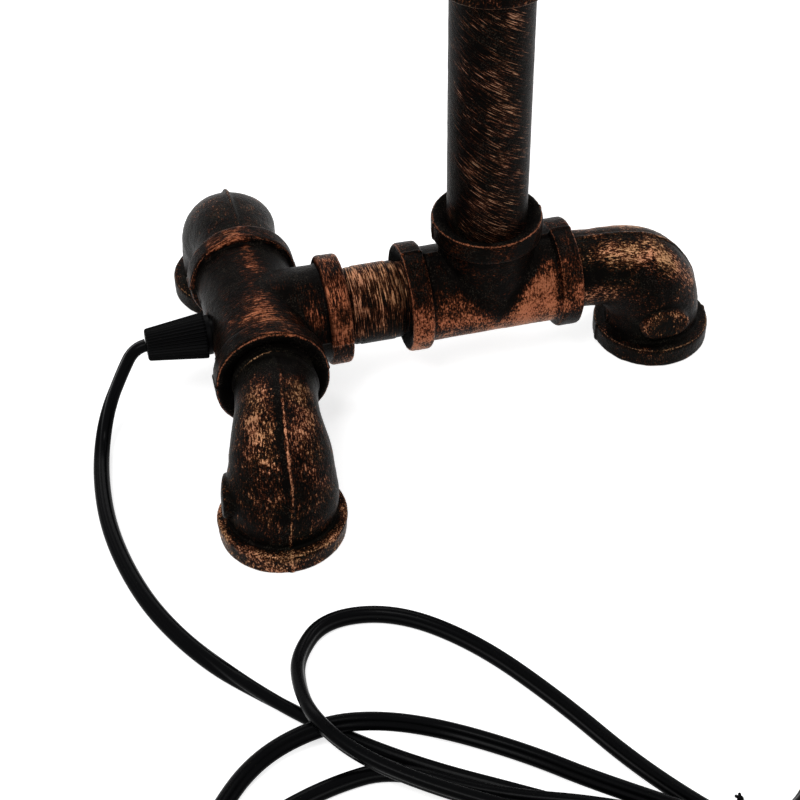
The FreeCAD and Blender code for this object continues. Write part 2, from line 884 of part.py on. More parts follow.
def flat_solid(rows, low, high):
    """A level solid with rounded corners, from a plan outline."""
    corners = [Vector(x + post_x, y, low) for x, y in rows]
    edges, _ = route_edges(corners, closed=True)
    return Part.Face(Part.Wire(edges)).extrude(Z * (high - low))


def hank():
    """The loops of spare lead: a fan to the left, a waist under the tie and a shorter fan to the right."""
    low_y = waist_middle - waist_width / 2
    high_y = waist_middle + waist_width / 2
    waist = [(waist_left, low_y), (waist_left, high_y), (waist_right, high_y), (waist_right, low_y)]
    fans = [flat_solid(rows, 0, hank_height) for rows in (hank_left, hank_right)]
    return joined(fans + [flat_solid(waist, waist_low, waist_high)])


def hank_tie():
    """A band round the waist of the hank."""
    corner = Vector(post_x + tie_middle - tie_width / 2, waist_middle - waist_width / 2, waist_low)
    hole = Part.makeBox(tie_width, waist_width, waist_high - waist_low, corner)
    outer = Part.makeBox(
        tie_width,
        waist_width + 2 * tie_sheet,
        waist_high - waist_low + 2 * tie_sheet,
        corner - Vector(0, tie_sheet, tie_sheet),
    )
    return outer.cut(hole)


def plug_axis_point(distance):
    """A point of the plug's axis, at a distance from where the lead enters it, towards -X."""
    end = tail_route()[-1]
    return Vector(end.x - distance, end.y, plug_level)


def plug_body():
    """A flat two-pin plug: tapered tail, wide waist and a narrower nose."""
    half = plug_width / 2
    tail = plug_tail_length
    outline = [
        (tail, -plug_tail_od / 2),
        (tail + 8, -half + 3),
        (tail + 14, -half),
        (tail + plug_length - plug_nose, -half),
        (tail + plug_length, -half + 4),
        (tail + plug_length, half - 4),
        (tail + plug_length - plug_nose, half),
        (tail + 14, half),
        (tail + 8, half - 3),
        (tail, plug_tail_od / 2),
    ]
    base = plug_axis_point(0)
    corners = [Vector(base.x - along, base.y + across, floor_gap) for along, across in outline]
    slab = Part.Face(Part.makePolygon(corners + corners[:1])).extrude(Z * plug_thickness)
    upright = [e for e in slab.Edges if abs(e.tangentAt(e.FirstParameter).z) < 0.5]
    slab = slab.makeFillet(2.0, upright)
    relief = cone(cord_d / 2 + 0.8, plug_tail_od / 2, plug_axis_point(0), plug_axis_point(tail + 2))
    return joined([slab, relief])


def plug_pins():
    pins = []
    nose = plug_tail_length + plug_length
    for side in (-1, 1):
        start = plug_axis_point(nose) + Y * (side * plug_pin_spacing / 2)
        pin = cylinder(plug_pin_d / 2, start, start - X * plug_pin_length)
        pins.append(rounded_rim(pin, plug_pin_d / 2, 0.9))
    return Part.makeCompound(pins)


def lead_and_tail(hank_solid):
    """The two free stretches of the lead, ended where they meet the hank."""
    lead, lead_radii, lead_length = tube_along(lead_route(), cord_d)
    tail, tail_radii, tail_length = tube_along(tail_route(), cord_d)
    print("lead radii", [round(r, 1) for r in lead_radii], "length", round(lead_length, 1))
    print("tail radii", [round(r, 1) for r in tail_radii], "length", round(tail_length, 1))
    section = math.pi * cord_d**2 / 4
    print("volume over section times length", round(lead.Volume / (section * lead_length), 4))
    print("volume over section times length", round(tail.Volume / (section * tail_length), 4))
    return lead.cut(hank_solid), tail.cut(hank_solid)


def build():
    hank_solid = hank()
    lead, tail = lead_and_tail(hank_solid)
    nodes = feet()
    nodes.update(
        {
            "leg_tee": leg_tee(),
            "spine_nipple": spine_nipple(),
            "post_tee": post_tee(),
            "post": post(),
            "cord_grip": cord_grip(),
            "grip_nut": grip_nut(),
            "base_flex": base_flex(),
            "swing_elbow": swing_elbow(),
            "arm_nipple": arm_nipple(),
            "arm_flex": arm_flex(),
            "head_elbow": head_elbow(),
            "head_flex": head_flex(),
            "head_leads": head_leads(),
            "lamp_cup": lamp_cup(),
            "hollow_stud": hollow_stud(),
            "stud_nut": stud_nut(),
            "switch_housing": switch_housing(),
            "bush_nut": bush_nut(),
            "switch_knob": switch_knob(),
            "holder_insulator": holder_insulator(),
            "holder_screws": holder_screws(),
            "screw_shell": screw_shell(),
            "centre_contact": centre_contact(),
            "bulb_cap": bulb_cap(),
            "bulb_insulator": bulb_insulator(),
            "bulb_tip": bulb_tip(),
            "bulb_envelope": bulb_envelope(),
            "bulb_stem": bulb_stem(),
            "filament": filament(),
            "filament_hooks": filament_hooks(),
            "cord_lead": lead,
            "cord_hank": hank_solid,
            "cord_tail": tail,
            "hank_tie": hank_tie(),
            "plug_body": plug_body(),
            "plug_pins": plug_pins(),
        }
    )
    return nodes


os.makedirs("parts", exist_ok=True)
for node, solid in build().items():
    solid.exportStep("parts/" + node + ".step")
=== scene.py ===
"""Finishes, lead, bulb and stage for a table lamp built of beaded pipe fittings."""

import json
import math

import bmesh
import bpy
import numpy as np
from bpy.props import FloatProperty, FloatVectorProperty, IntProperty, PointerProperty
from mathutils import Euler, Matrix, Vector


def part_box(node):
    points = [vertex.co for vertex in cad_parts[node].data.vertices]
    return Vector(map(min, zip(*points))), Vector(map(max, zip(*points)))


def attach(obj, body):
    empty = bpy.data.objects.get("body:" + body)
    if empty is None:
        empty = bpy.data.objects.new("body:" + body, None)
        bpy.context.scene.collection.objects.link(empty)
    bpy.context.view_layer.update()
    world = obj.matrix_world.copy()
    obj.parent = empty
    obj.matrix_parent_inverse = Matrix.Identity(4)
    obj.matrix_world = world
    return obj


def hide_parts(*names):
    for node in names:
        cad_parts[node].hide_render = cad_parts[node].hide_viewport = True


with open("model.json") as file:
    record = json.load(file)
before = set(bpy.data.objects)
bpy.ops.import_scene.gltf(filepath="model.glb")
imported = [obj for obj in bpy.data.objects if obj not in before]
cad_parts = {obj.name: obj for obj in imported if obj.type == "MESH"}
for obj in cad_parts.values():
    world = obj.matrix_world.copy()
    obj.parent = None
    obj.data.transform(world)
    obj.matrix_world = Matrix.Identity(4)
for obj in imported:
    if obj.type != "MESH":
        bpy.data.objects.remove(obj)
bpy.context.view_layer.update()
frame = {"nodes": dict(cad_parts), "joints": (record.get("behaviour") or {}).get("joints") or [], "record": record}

bl_info = {
    "name": "Pipe table lamp",
    "version": (1, 0, 0),
    "blender": (4, 5, 0),
    "location": "View3D > Sidebar > Pipe lamp",
    "description": "Dresses a table lamp built of beaded pipe fittings",
    "category": "Object",
}

MM = 0.001
X = Vector((1, 0, 0))
Y = Vector((0, 1, 0))
Z = Vector((0, 0, 1))

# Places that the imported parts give
JOINTS = {joint["name"]: joint for joint in frame["joints"]}
SWIVEL = Vector(JOINTS["arm_swing"]["pos_m"])
TILT = Vector(JOINTS["head_tilt"]["pos_m"])
KNOB_AXIS = Vector(JOINTS["switch_turn"]["pos_m"])
SPINE_LEVEL = sum(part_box("spine_nipple"), Vector()).z / 2
PIPE_RADIUS, BEAD_RADIUS, TEE_REACH = (
    (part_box(node)[1].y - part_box(node)[0].y) / 2 for node in ("post", "post_tee", "leg_tee")
)
BEAD_WIDTH = 7.4 * MM
LEG_CENTRE = Vector((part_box("leg_tee")[1].x - TEE_REACH, 0, SPINE_LEVEL))
POST_CENTRE = Vector((SWIVEL.x, 0, SPINE_LEVEL))
FOOT_BEND = 22 * MM
THREAD_DEPTH = 12 * MM
ELBOW_BEND = 19 * MM

# The lead's route, in millimetres from the foot of the post: down from the grip,
# across the table and through seven strands of the hank to the plug.
# A point without a height lies on the table
LEAD_DOWN = (
    (-118.2, -2.5, 33.7), (-122.3, -2.6, 33.3), (-127.3, -4.6, 25.6), (-134.1, -7.5, 12.8),
    (-138.3, -15, 3.2), (-140.6, -32), (-140.8, -52), (-137.5, -73), (-131.3, -93.1), (-120.4, -113.4),
)
FIRST_STRAND = (
    (-104.5, -133), (-86.4, -151.8), (-65.2, -168.8), (-40, -184.5), (-14, -201.5), (14, -219),
)
FIRST_TURN = (
    (40, -225), (66, -234), (93, -243), (113, -235.5), (116, -216), (102, -201), (74, -203, 3),
    (42, -214, 5),
)
LOW_LOOP = (
    (14, -219, 7), (-14, -213, 6), (-42, -209, 4), (-70, -208), (-94, -211.5), (-117, -211),
    (-128, -200.5), (-128, -185.5), (-114, -175), (-93, -168), (-74, -166.5), (-51, -184, 4.5),
    (-22, -197, 8), (14, -217, 8.5),
)
SECOND_TURN = (
    (42, -216, 5.5), (66, -210.5, 6.5), (86, -213, 6.5), (98, -229, 5.5), (92, -248, 4), (72, -256),
    (52, -248), (35, -233, 5.5),
)
MIDDLE_LOOP = (
    (12, -224, 6.5), (-16, -219, 4.5), (-46, -217.2), (-78, -218.5), (-108, -217.3), (-129, -207),
    (-136, -187), (-127, -170.5), (-112, -154.6, 3.6), (-92.3, -150, 7), (-76, -152.4, 7.6),
    (-57.5, -156.9, 3), (-36.2, -171.4), (-20.2, -187.2, 4.5), (14, -218.5, 11),
)
THIRD_TURN = (
    (40, -222, 9.5), (61, -223, 9), (80, -216, 7.5), (90, -200, 5), (83, -183, 3), (66, -176.5),
    (49, -187), (32, -210, 7),
)
TOP_LOOP = (
    (12, -218, 12), (-12, -208, 9), (-40, -196.5, 8), (-66.6, -179.7, 8.8), (-84.5, -165.8, 10.8),
    (-93.8, -151.6, 12.4), (-95.2, -136.6, 8), (-93, -121, 3.6), (-81.8, -107.7), (-60, -110.3),
    (-39.5, -128), (-22, -155), (-6.2, -186.6, 3.4), (14, -219, 9),
)
TAIL = (
    (34, -226, 8), (52, -232, 7), (63, -243, 5.5), (63.5, -258, 3.6), (52, -269), (32, -271.5),
    (10, -270, 6.85), (-8, -270, 6.85),
)
# The stretches in order, each with how far its flat section leans over, in radians
STRETCHES = (
    (LEAD_DOWN, 0.5),
    (FIRST_STRAND, 2.2),
    (FIRST_TURN, 1.35),
    (LOW_LOOP, 1.35),
    (SECOND_TURN, 1.35),
    (MIDDLE_LOOP, 0.8),
    (THIRD_TURN, 1.0),
    (TOP_LOOP, 1.35),
    (TAIL, 1.35),
)
# How high the lead's own line runs above the table, in millimetres
RESTING = 2.75
ROUTE = [(*point, RESTING)[:3] for stretch, _ in STRETCHES for point in stretch]

# Where the camera stands and looks, from the foot of the post
EYE = (-142.23 * MM, -462.38 * MM, 421.98 * MM)
EYE_YAW = 0.2364
EYE_PITCH = 0.7417
EYE_ROLL = -0.0149
EYE_FOCAL_PIXELS = 1789.39
IMAGE_WIDTH = 800


def kind_of(property_type=FloatProperty, **settings):
    """A kind of property, made from its name, description and default."""
    return lambda name, description, default: property_type(
        name=name, description=description, default=default, **settings
    )


a_length = kind_of(unit="LENGTH")
an_angle = kind_of(subtype="ANGLE")
a_power = kind_of(unit="POWER")
a_share = kind_of(min=0, max=1)
a_count = kind_of(IntProperty, min=6)
a_colour = kind_of(FloatVectorProperty, subtype="COLOR")
a_tint = kind_of(FloatVectorProperty, max=2)


class CastingSizes(bpy.types.PropertyGroup):
    voxel: a_length("Facet size", "Width of the cast surface's facets", 0.5 * MM)
    grain_height: a_length("Grain height", "Height of the sand grain", 0.14 * MM)
    grain_width: a_length("Grain width", "Width of the sand grain", 1.1 * MM)
    swell: a_length("Swell", "Thickness that softening takes and this gives back", 0.17 * MM)
    waviness: a_length("Waviness", "Height of the casting's slow unevenness", 0.35 * MM)
    wave_width: a_length("Wave width", "Width of the slow unevenness", 7 * MM)


class EnamelColours(bpy.types.PropertyGroup):
    black: a_colour("Enamel", "The black enamel", (0.0018, 0.0014, 0.0013))
    # Painted glints: pale specks on the black that stand in for the glints of the cast grain
    dust: a_colour("Dust", "Fine pale grains in the enamel", (0.043, 0.033, 0.026))
    brown: a_colour("Thin enamel", "Enamel where copper shows through", (0.031, 0.0088, 0.0040))
    copper: a_colour("Copper", "The rubbed copper", (0.165, 0.050, 0.022))
    # Also the colour of the bead-corner lines, partly wear and partly painted glints, and of the painted highlight
    # round the front foot's shoulder
    bright: a_colour("Bright copper", "Copper on the edges", (0.42, 0.165, 0.078))
    gold: a_tint("Gold tint", "What turns the copper golden", (0.9, 1.22, 1.0))


class LeadSizes(bpy.types.PropertyGroup):
    width: a_length("Width", "Width of the flat lead", 5.4 * MM)
    thickness: a_length("Thickness", "Thickness of the flat lead", 4.3 * MM)
    groove: a_share("Groove", "Depth of the groove between the cores, as a share", 0.2)
    lean: an_angle("Lean", "Added to the lead's lean", 0.0)


class MouldingSizes(bpy.types.PropertyGroup):
    grip_ribs: a_count("Grip ribs", "Ribs round the cord grip", 36)
    grip_rib_depth: a_share("Grip rib depth", "Depth of the ribs, as a share of the grip's radius", 0.075)
    knob_flutes: a_count("Knob flutes", "Flutes round the switch's knob", 24)
    knob_flute_depth: a_share(
        "Knob flute depth", "Depth of the flutes, as a share of the knob's radius", 0.07
    )


class BulbSizes(bpy.types.PropertyGroup):
    tint: a_colour("Glass tint", "Colour of the blown glass", (1.0, 0.86, 0.66))


class StageSizes(bpy.types.PropertyGroup):
    floor_side: a_length("Floor", "Side of the floor", 8.0)
    key_power: a_power("Key light", "Power of the main softbox", 7.0)
    fill_power: a_power("Fill light", "Power of the fill softbox", 4.0)
    back_power: a_power("Back light", "Power of the softbox behind", 4.0)
    sky: a_share("Sky", "Strength of the surroundings, as a share of how bright they look", 0.22)


# Node trees


# Sockets of a colour mix
MIX_FACTOR, MIX_FIRST, MIX_SECOND, MIX_RESULT = 0, 6, 7, 2
# Sizes of the enamel's marks, in marks a metre
SPECKS, CRUMBS, BLOTCHES = 1750, 680, 130
# The painted glints' specks, the clouds that thin them, and the golden clouds
PAINTED_GLINT_GRAINS, PAINTED_GLINT_CLOUDS, GOLD_CLOUDS = 2300, 190, 85
# Where each layer of the finish, the painted glints among them, begins and where it is whole, as its marks or the
# wear and painted glint lines rise
PAINTED_GLINTY = (0.57, 0.65)
CLOUDY = (0.40, 0.58)
GOLDEN = (0.38, 0.62)
THIN = (0.43, 0.53)
SHOWN = (0.525, 0.59)
STRONG = (0.58, 0.645)
# The edge lines are partly wear and partly painted glints
EDGE = (0.72, 1.0)
ENAMEL_DEPTH = 0.3 * MM
# A plain surface's grain, in marks a metre, its depth and how far its colour varies
PLAIN_GRAIN = 1500
PLAIN_DEPTH = 0.05 * MM
MOTTLE = 0.15
# Shares of the copper's colour and of its bright flecks: pale and golden, or deep and red
PALE = ((1.0, 1.12, 1.25), (1.0, 1.15, 1.35))
DULL = ((1.0, 1.25, 1.6), (0.9, 1.2, 1.6))
DEEP = ((1.0, 0.92, 0.95), (0.74, 0.62, 0.66))


def set_inputs(node, inputs):
    """Sets a node's inputs. An input is a value or another node's output."""
    for name, value in inputs.items():
        if isinstance(value, bpy.types.NodeSocket):
            node.id_data.links.new(value, node.inputs[name])
        else:
            node.inputs[name].default_value = value


def add(tree, kind, inputs=None, **settings):
    """A node with its settings and inputs."""
    node = tree.nodes.new(kind)
    for name, value in settings.items():
        setattr(node, name, value)
    set_inputs(node, inputs or {})
    return node


def maths(operation, *values):
    """A sum of numbers and nodes' outputs, in the outputs' own tree."""
    tree = next(value.id_data for value in values if isinstance(value, bpy.types.NodeSocket))
    return add(tree, "ShaderNodeMath", dict(enumerate(values)), operation=operation).outputs[0]


def plus(first, *others):
    for other in others:
        first = maths("ADD", first, other)
    return first


def times(first, *others):
    for other in others:
        first = maths("MULTIPLY", first, other)
    return first


def blended(factor, first, second, mode="MIX"):
    """A colour mix. Each colour is red, green and blue, or another node's output."""
    inputs = {MIX_FACTOR: factor}
    for socket, value in ((MIX_FIRST, first), (MIX_SECOND, second)):
        inputs[socket] = value if isinstance(value, bpy.types.NodeSocket) else (*value, 1)
    mix = add(factor.id_data, "ShaderNodeMix", inputs, data_type="RGBA", blend_type=mode)
    return mix.outputs[MIX_RESULT]


def between(value, low, high):
    """0 below low, 1 above high."""
    inputs = {"Value": value, "From Min": low, "From Max": high}
    return add(value.id_data, "ShaderNodeMapRange", inputs, interpolation_type="SMOOTHSTEP").outputs[0]


def noise_on(vector, scale, detail, roughness, stretch=(1, 1, 1)):
    tree = vector.id_data
    place = add(tree, "ShaderNodeMapping", {"Vector": vector, "Scale": stretch}).outputs[0]
    inputs = {"Vector": place, "Scale": scale, "Detail": detail, "Roughness": roughness}
    return add(tree, "ShaderNodeTexNoise", inputs).outputs["Fac"]


def empty_material(name):
    material = bpy.data.materials.new(name)
    material.use_nodes = True
    material.node_tree.nodes.clear()
    return material, material.node_tree


def new_material(name):
    """A bare node material with its shader."""
    material, tree = empty_material(name)
    shader = tree.nodes.new("ShaderNodeBsdfPrincipled")
    add(tree, "ShaderNodeOutputMaterial", {"Surface": shader.outputs[0]})
    return material, tree, shader


def tinted(colour, tint):
    return tuple(value * share for value, share in zip(colour, tint))


def rubbed_enamel(name, stretch, stroke_scale, stroke_share, gold, tint, contrast):
    """Black enamel over copper, rubbed back on the edges and in strokes along the piece's own grain, with painted
    glints: pale specks on the black, and bright lines on bead corners that are partly wear. The rub also carries
    painted highlight and shade on the feet, post and nipples.

    The tint holds the shares of the copper's colour and of its bright flecks."""
    colours = bpy.context.scene.enamel_colours
    material, tree, shader = new_material(name)
    place = add(tree, "ShaderNodeTexCoord").outputs["Object"]
    grain, wear_and_glint, rub, inside = (
        add(tree, "ShaderNodeAttribute", attribute_name=mark).outputs
        for mark in ("grain", "wear_and_glint", "rub", "inside")
    )
    strokes = noise_on(grain["Vector"], stroke_scale, 3, 0.6, stretch)
    specks = noise_on(place, SPECKS, 2, 0.75)
    crumbs = noise_on(place, CRUMBS, 2, 0.6)
    blotches = noise_on(place, BLOTCHES, 2, 0.5)
    fine = plus(times(specks, 0.6), times(crumbs, 0.4))
    texture = plus(times(strokes, stroke_share), times(fine, 1 - stroke_share))
    spread = plus(times(texture, contrast), 0.5 - 0.5 * contrast)
    patches = times(plus(blotches, -0.5), 0.30)
    level = plus(spread, patches, rub["Fac"])
    shown = between(level, *SHOWN)
    # Painted glints: pale specks on the black in place of the cast grain's glints
    dust = times(
        between(noise_on(place, PAINTED_GLINT_GRAINS, 1, 0.5), *PAINTED_GLINTY),
        between(noise_on(place, PAINTED_GLINT_CLOUDS, 1, 0.5), *CLOUDY),
        0.55,
    )
    chips = times(plus(specks, -0.5), 1.1)
    # Edge wear together with painted glints: the bright lines on edges and bead corners
    edge = between(plus(wear_and_glint["Fac"], chips), *EDGE)
    flecks = maths("MAXIMUM", between(level, *STRONG), times(edge, 0.75))
    golden = times(between(noise_on(place, GOLD_CLOUDS, 2, 0.5), *GOLDEN), gold)
    base = blended(dust, colours.black[:], colours.dust[:])
    base = blended(between(level, *THIN), base, colours.brown[:])
    base = blended(shown, base, tinted(colours.copper, tint[0]))
    base = blended(flecks, base, tinted(colours.bright, tint[1]))
    base = blended(golden, base, colours.gold[:], "MULTIPLY")
    height = plus(fine, times(strokes, 0.7))
    bump = add(tree, "ShaderNodeBump", {"Height": height, "Strength": 0.85, "Distance": ENAMEL_DEPTH})
    surface = {
        "Base Color": base,
        "Metallic": maths("MAXIMUM", times(shown, 0.8), times(edge, 0.6)),
        "Roughness": plus(0.14, times(specks, 0.4), times(inside["Fac"], 0.4)),
        "Normal": bump.outputs[0],
        "Specular Tint": (1.0, 0.86, 0.74, 1.0),
        "Specular IOR Level": 0.018,
    }
    set_inputs(shader, surface)
    return material


def plain_material(name, colour, roughness, metallic=0.0, transmission=0.0):
    """A moulded or turned surface with a slight mottle and a fine grain. Black ones shine less."""
    material, tree, shader = new_material(name)
    place = add(tree, "ShaderNodeTexCoord").outputs["Object"]
    fine = noise_on(place, PLAIN_GRAIN, 3, 0.6)
    broad = noise_on(place, PLAIN_GRAIN / 14, 2, 0.5)
    darker, lighter = (tuple(min(1, c * share) for c in colour) for share in (1 - MOTTLE, 1 + MOTTLE))
    bump = add(tree, "ShaderNodeBump", {"Height": fine, "Strength": 0.4, "Distance": PLAIN_DEPTH})
    surface = {
        "Base Color": blended(broad, darker, lighter),
        "Roughness": plus(roughness - 0.06, times(fine, 0.12)),
        "Normal": bump.outputs[0],
        "Metallic": metallic,
        "Transmission Weight": transmission,
        "Specular IOR Level": 0.03 if max(colour) < 0.1 else 0.5,
    }
    set_inputs(shader, surface)
    return material


# Meshes


def linked(name, mesh):
    obj = bpy.data.objects.new(name, mesh)
    bpy.context.scene.collection.objects.link(obj)
    return obj


def plain_mesh(obj):
    """obj with its modifiers made part of its mesh."""
    bpy.context.view_layer.update()
    evaluated = obj.evaluated_get(bpy.context.evaluated_depsgraph_get())
    mesh = bpy.data.meshes.new_from_object(evaluated)
    name = obj.name
    bpy.data.objects.remove(obj)
    mesh.name = name
    return linked(name, mesh)


def cover(obj, material):
    obj.data.materials.clear()
    obj.data.materials.append(material)


def finish(obj, node, material):
    """Gives a made piece its material, node, slot and body."""
    cover(obj, material)
    obj.data.shade_smooth()
    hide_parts(node)
    body = next(name for name, nodes in frame["record"]["behaviour"]["bodies"].items() if node in nodes)
    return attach(obj, body)


def dress(nodes, material):
    """Gives CAD nodes their material."""
    for node in nodes:
        cover(frame["nodes"][node], material)


def merged_copy(node, name):
    """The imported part's mesh with its loose triangles joined."""
    mesh = frame["nodes"][node].data.copy()
    shape = bmesh.new()
    shape.from_mesh(mesh)
    bmesh.ops.remove_doubles(shape, verts=shape.verts, dist=1e-6)
    shape.to_mesh(mesh)
    shape.free()
    mesh.materials.clear()
    return linked(name, mesh)


def clouds(name, width):
    texture = bpy.data.textures.new(name, "CLOUDS")
    texture.noise_scale = width
    texture.noise_depth = 2
    return texture


def remeshed(node, name, voxel, smoothing=3):
    """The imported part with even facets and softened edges."""
    obj = merged_copy(node, name)
    remesh = obj.modifiers.new("facets", "REMESH")
    remesh.mode = "VOXEL"
    remesh.voxel_size = voxel
    smooth = obj.modifiers.new("soften", "SMOOTH")
    smooth.factor = 0.5
    smooth.iterations = smoothing
    return obj


def roughened(obj, sizes, share=1.0):
    """Adds the casting's sand grain and unevenness."""
    for label, width, height in (
        ("grain", sizes.grain_width, sizes.grain_height),
        ("waves", sizes.wave_width, sizes.waviness),
    ):
        displace = obj.modifiers.new(label, "DISPLACE")
        displace.texture = clouds(obj.name + label, width)
        displace.texture_coords = "LOCAL"
        displace.strength = height * share
        displace.mid_level = 0.5
    swell = obj.modifiers.new("swell", "DISPLACE")
    swell.strength = sizes.swell
    swell.mid_level = 0
    return obj


def positions(mesh):
    flat = np.empty(len(mesh.vertices) * 3, np.float32)
    mesh.vertices.foreach_get("co", flat)
    return flat.reshape(-1, 3).astype(float)


def convexity(mesh, rounds):
    """How far each point stands out of its smoothed surroundings, in metres. Hollows are negative."""
    points = positions(mesh)
    ends = np.empty(len(mesh.edges) * 2, np.int32)
    mesh.edges.foreach_get("vertices", ends)
    a, b = ends.reshape(-1, 2).T
    normals = np.empty(len(points) * 3, np.float32)
    mesh.vertices.foreach_get("normal", normals)
    count = len(points)
    degree = np.maximum(np.bincount(a, minlength=count) + np.bincount(b, minlength=count), 1)
    calm = points.copy()
    for _ in range(rounds):
        for axis in range(3):
            total = np.bincount(a, calm[b, axis], count) + np.bincount(b, calm[a, axis], count)
            calm[:, axis] += 0.5 * (total / degree - calm[:, axis])
    return ((points - calm) * normals.reshape(-1, 3)).sum(1)


def set_attribute(mesh, name, values):
    values = np.asarray(values, np.float32)
    kind = "FLOAT_VECTOR" if values.ndim == 2 else "FLOAT"
    attribute = mesh.attributes.new(name, kind, "POINT")
    attribute.data.foreach_set("vector" if values.ndim == 2 else "value", values.ravel())


# Grain: where a point would be if its pipe were straightened. The last coordinate runs along the pipe.


def along_pipe(points, centre, axis):
    """A straight pipe."""
    away = points - centre
    side = axis.orthogonal().normalized()
    other = axis.cross(side)
    return np.stack([away @ side, away @ other, away @ axis], 1)


def along_bend(points, corner, first, last, bend):
    """An elbow whose axes leave its corner along first and last.

    The second coordinate points out of the bend."""
    away = points - corner
    a, b = away @ first, away @ last
    short, rest = np.maximum(bend - a, 0), np.maximum(bend - b, 0)
    turn = np.arctan2(short, np.maximum(rest, 1e-9))
    on_first = a > bend
    on_last = (b > bend) & ~on_first
    out = np.where(on_first, -b, np.where(on_last, -a, np.hypot(short, rest) - bend))
    length = np.where(on_first, bend - a, np.where(on_last, bend * math.pi / 2 + b - bend, turn * bend))
    return np.stack([away @ first.cross(last), out, length], 1)


def along_tee(points, centre, run, branch):
    """A tee: along its run, or along its branch where that is nearer."""
    away = points - centre
    t, b = away @ run, away @ branch
    on_branch = b > np.abs(t)
    along = np.where(on_branch, b + 0.2, t)
    return np.stack([away @ run.cross(branch), np.where(on_branch, t, b), along], 1)


def spot(values, middle, spread):
    return np.exp(-(((values - middle) / spread) ** 2))


# Castings and pipes

# How the strokes stretch across, out and along the grain
ALONG = (1.0, 1.0, 0.4)
ROUND = (0.12, 0.12, 1.0)
HAIRS = (0.055, 0.055, 1.0)
DRIPS = (0.35, 0.35, 1.0)
HELIX = 0.62
# The shoulder ring round the front foot, where rim_lines draws a painted highlight: the glint of the ring's step
# edge
SHOULDER_OFFSET = 3.2 * MM
SHOULDER_RADIUS = 13.9 * MM
# In millimetres: how high a foot's bead reaches, and how far from a tee's centre its beads begin
FOOT_BEAD_TOP = 7.6
BEAD_ROOT = 22.4
# The steps at a nipple's ends: how far each reaches from the thread, and its depth, in millimetres
BARREL_STEPS = ((4.4, 0.25), (2.4, 0.3), (1.1, 0.55))
# How much crests, hollows, edges and the insides of mouths take from or add to the rubbing
CREST_RUB, HOLLOW_RUB, EDGE_WEAR, INSIDE_RUB = 0.03, 0.22, 0.72, 0.4
BROAD_RELIEF = 0.9 * MM
RUB_SHARE, RUB_LEVEL = 1.3, -0.012


def foot_axis(node):
    """Where a foot's own axis meets the table."""
    points = positions(frame["nodes"][node].data)
    rim = points[points[:, 2] < 0.5 * MM]
    return Vector((rim[:, 0].min() + rim[:, 0].max(), rim[:, 1].min() + rim[:, 1].max(), 0)) / 2


def foot_grain(node, tee_face):
    """How to straighten a foot screwed into tee_face."""
    corner = foot_axis(node) + Z * SPINE_LEVEL
    to_tee = (tee_face - corner).normalized()
    return lambda points: along_bend(points, corner, to_tee, -Z, FOOT_BEND)


def offset(points, centre):
    """Where points, in millimetres, lie from a place in metres."""
    return points - np.array(centre) / MM


# How much each point is rubbed, from its grain and its place, both in millimetres. On the feet, post and nipples
# it also holds painted highlight and shade


def round_bend(grain):
    """Degrees round a pipe, from the crest of its bend."""
    return np.degrees(np.arctan2(grain[:, 0], grain[:, 1]))


def foot_rub_and_painted_light(grain, points):
    """Copper in two patches beside the crest of the bend, partly rubbed copper and partly a painted highlight, and
    a dark strip of painted shade along the ridge between them.
    """
    side, out, length = grain.T
    turn = round_bend(grain)
    lean = np.abs(turn)
    # Partly rubbed copper and partly a painted highlight, one patch each side of the crest
    patches = spot(lean, 27, 23) * spot(length, 10, 17)
    low_band = spot(lean, 105, 22) * spot(length, -6, 9)
    # Painted shade: a dark strip where no highlight falls between the two patches
    strip = spot(turn, 6, 3.5) * spot(length, 12, 16)
    ridge = spot(side, 0, 0.4) * (out > 0) * spot(length, 22, 28)
    rim = points[:, 2] < FOOT_BEAD_TOP
    return -0.043 + 0.092 * patches + 0.07 * low_band - 0.13 * strip + 0.13 * ridge + 0.05 * rim


def third_foot_rub_and_painted_highlight(grain, points):
    """A golden band beside the crest, partly rubbed copper and partly a painted highlight, a black one under it,
    and copper low down beside the tee.
    """
    side, out, length = grain.T
    lean = np.abs(round_bend(grain))
    # Partly rubbed copper and partly a painted highlight beside the crest
    band = spot(lean, 36, 19) * spot(length, 10, 17)
    dark = spot(lean, 68, 13) * (length < 22)
    low_band = spot(lean, 100, 17) * spot(length, -5, 9)
    ridge = spot(side, 0, 0.5) * (out > 0) * (length < 30)
    foot = np.clip((length - 24) / 8, 0, 1)
    x, y, z = offset(points, foot_axis("third_foot_elbow")).T
    reach = np.hypot(x / 8.0, (z - 15) / 5.5)
    rim = 0.055 * (z > 14) * spot(reach, 0.96, 0.1) - 0.12 * spot(reach, 1.2, 0.12)
    pad = (y < -10) * (0.055 * (reach < 0.9) + rim)
    return -0.053 + 0.135 * band - 0.07 * dark + 0.09 * low_band + 0.05 * ridge - 0.02 * foot + pad


def front_foot_rub_and_painted_light(grain, points):
    """As on the other feet, with a brighter bead, and black round the shoulder outside the tee."""
    bead = 0.01 * (points[:, 2] < FOOT_BEAD_TOP)
    return foot_rub_and_painted_light(grain, points) - 0.018 + bead - 0.2 * np.clip((1 - grain[:, 2]) / 9, 0, 1)


def back_foot_rub_and_painted_light(grain, points):
    return foot_rub_and_painted_light(grain, points) * 0.55 - 0.08


def foot_mouth(node):
    """The face of a foot's mouth on the table, the way in and the bead's radius."""
    low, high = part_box(node)
    centre = foot_axis(node)
    rim = min(centre.x - low.x, high.x - centre.x, centre.y - low.y, high.y - centre.y)
    return centre, Z, rim


def tee_mouths(centre, ways):
    return [(centre + way * TEE_REACH, -way, BEAD_RADIUS) for way in ways]


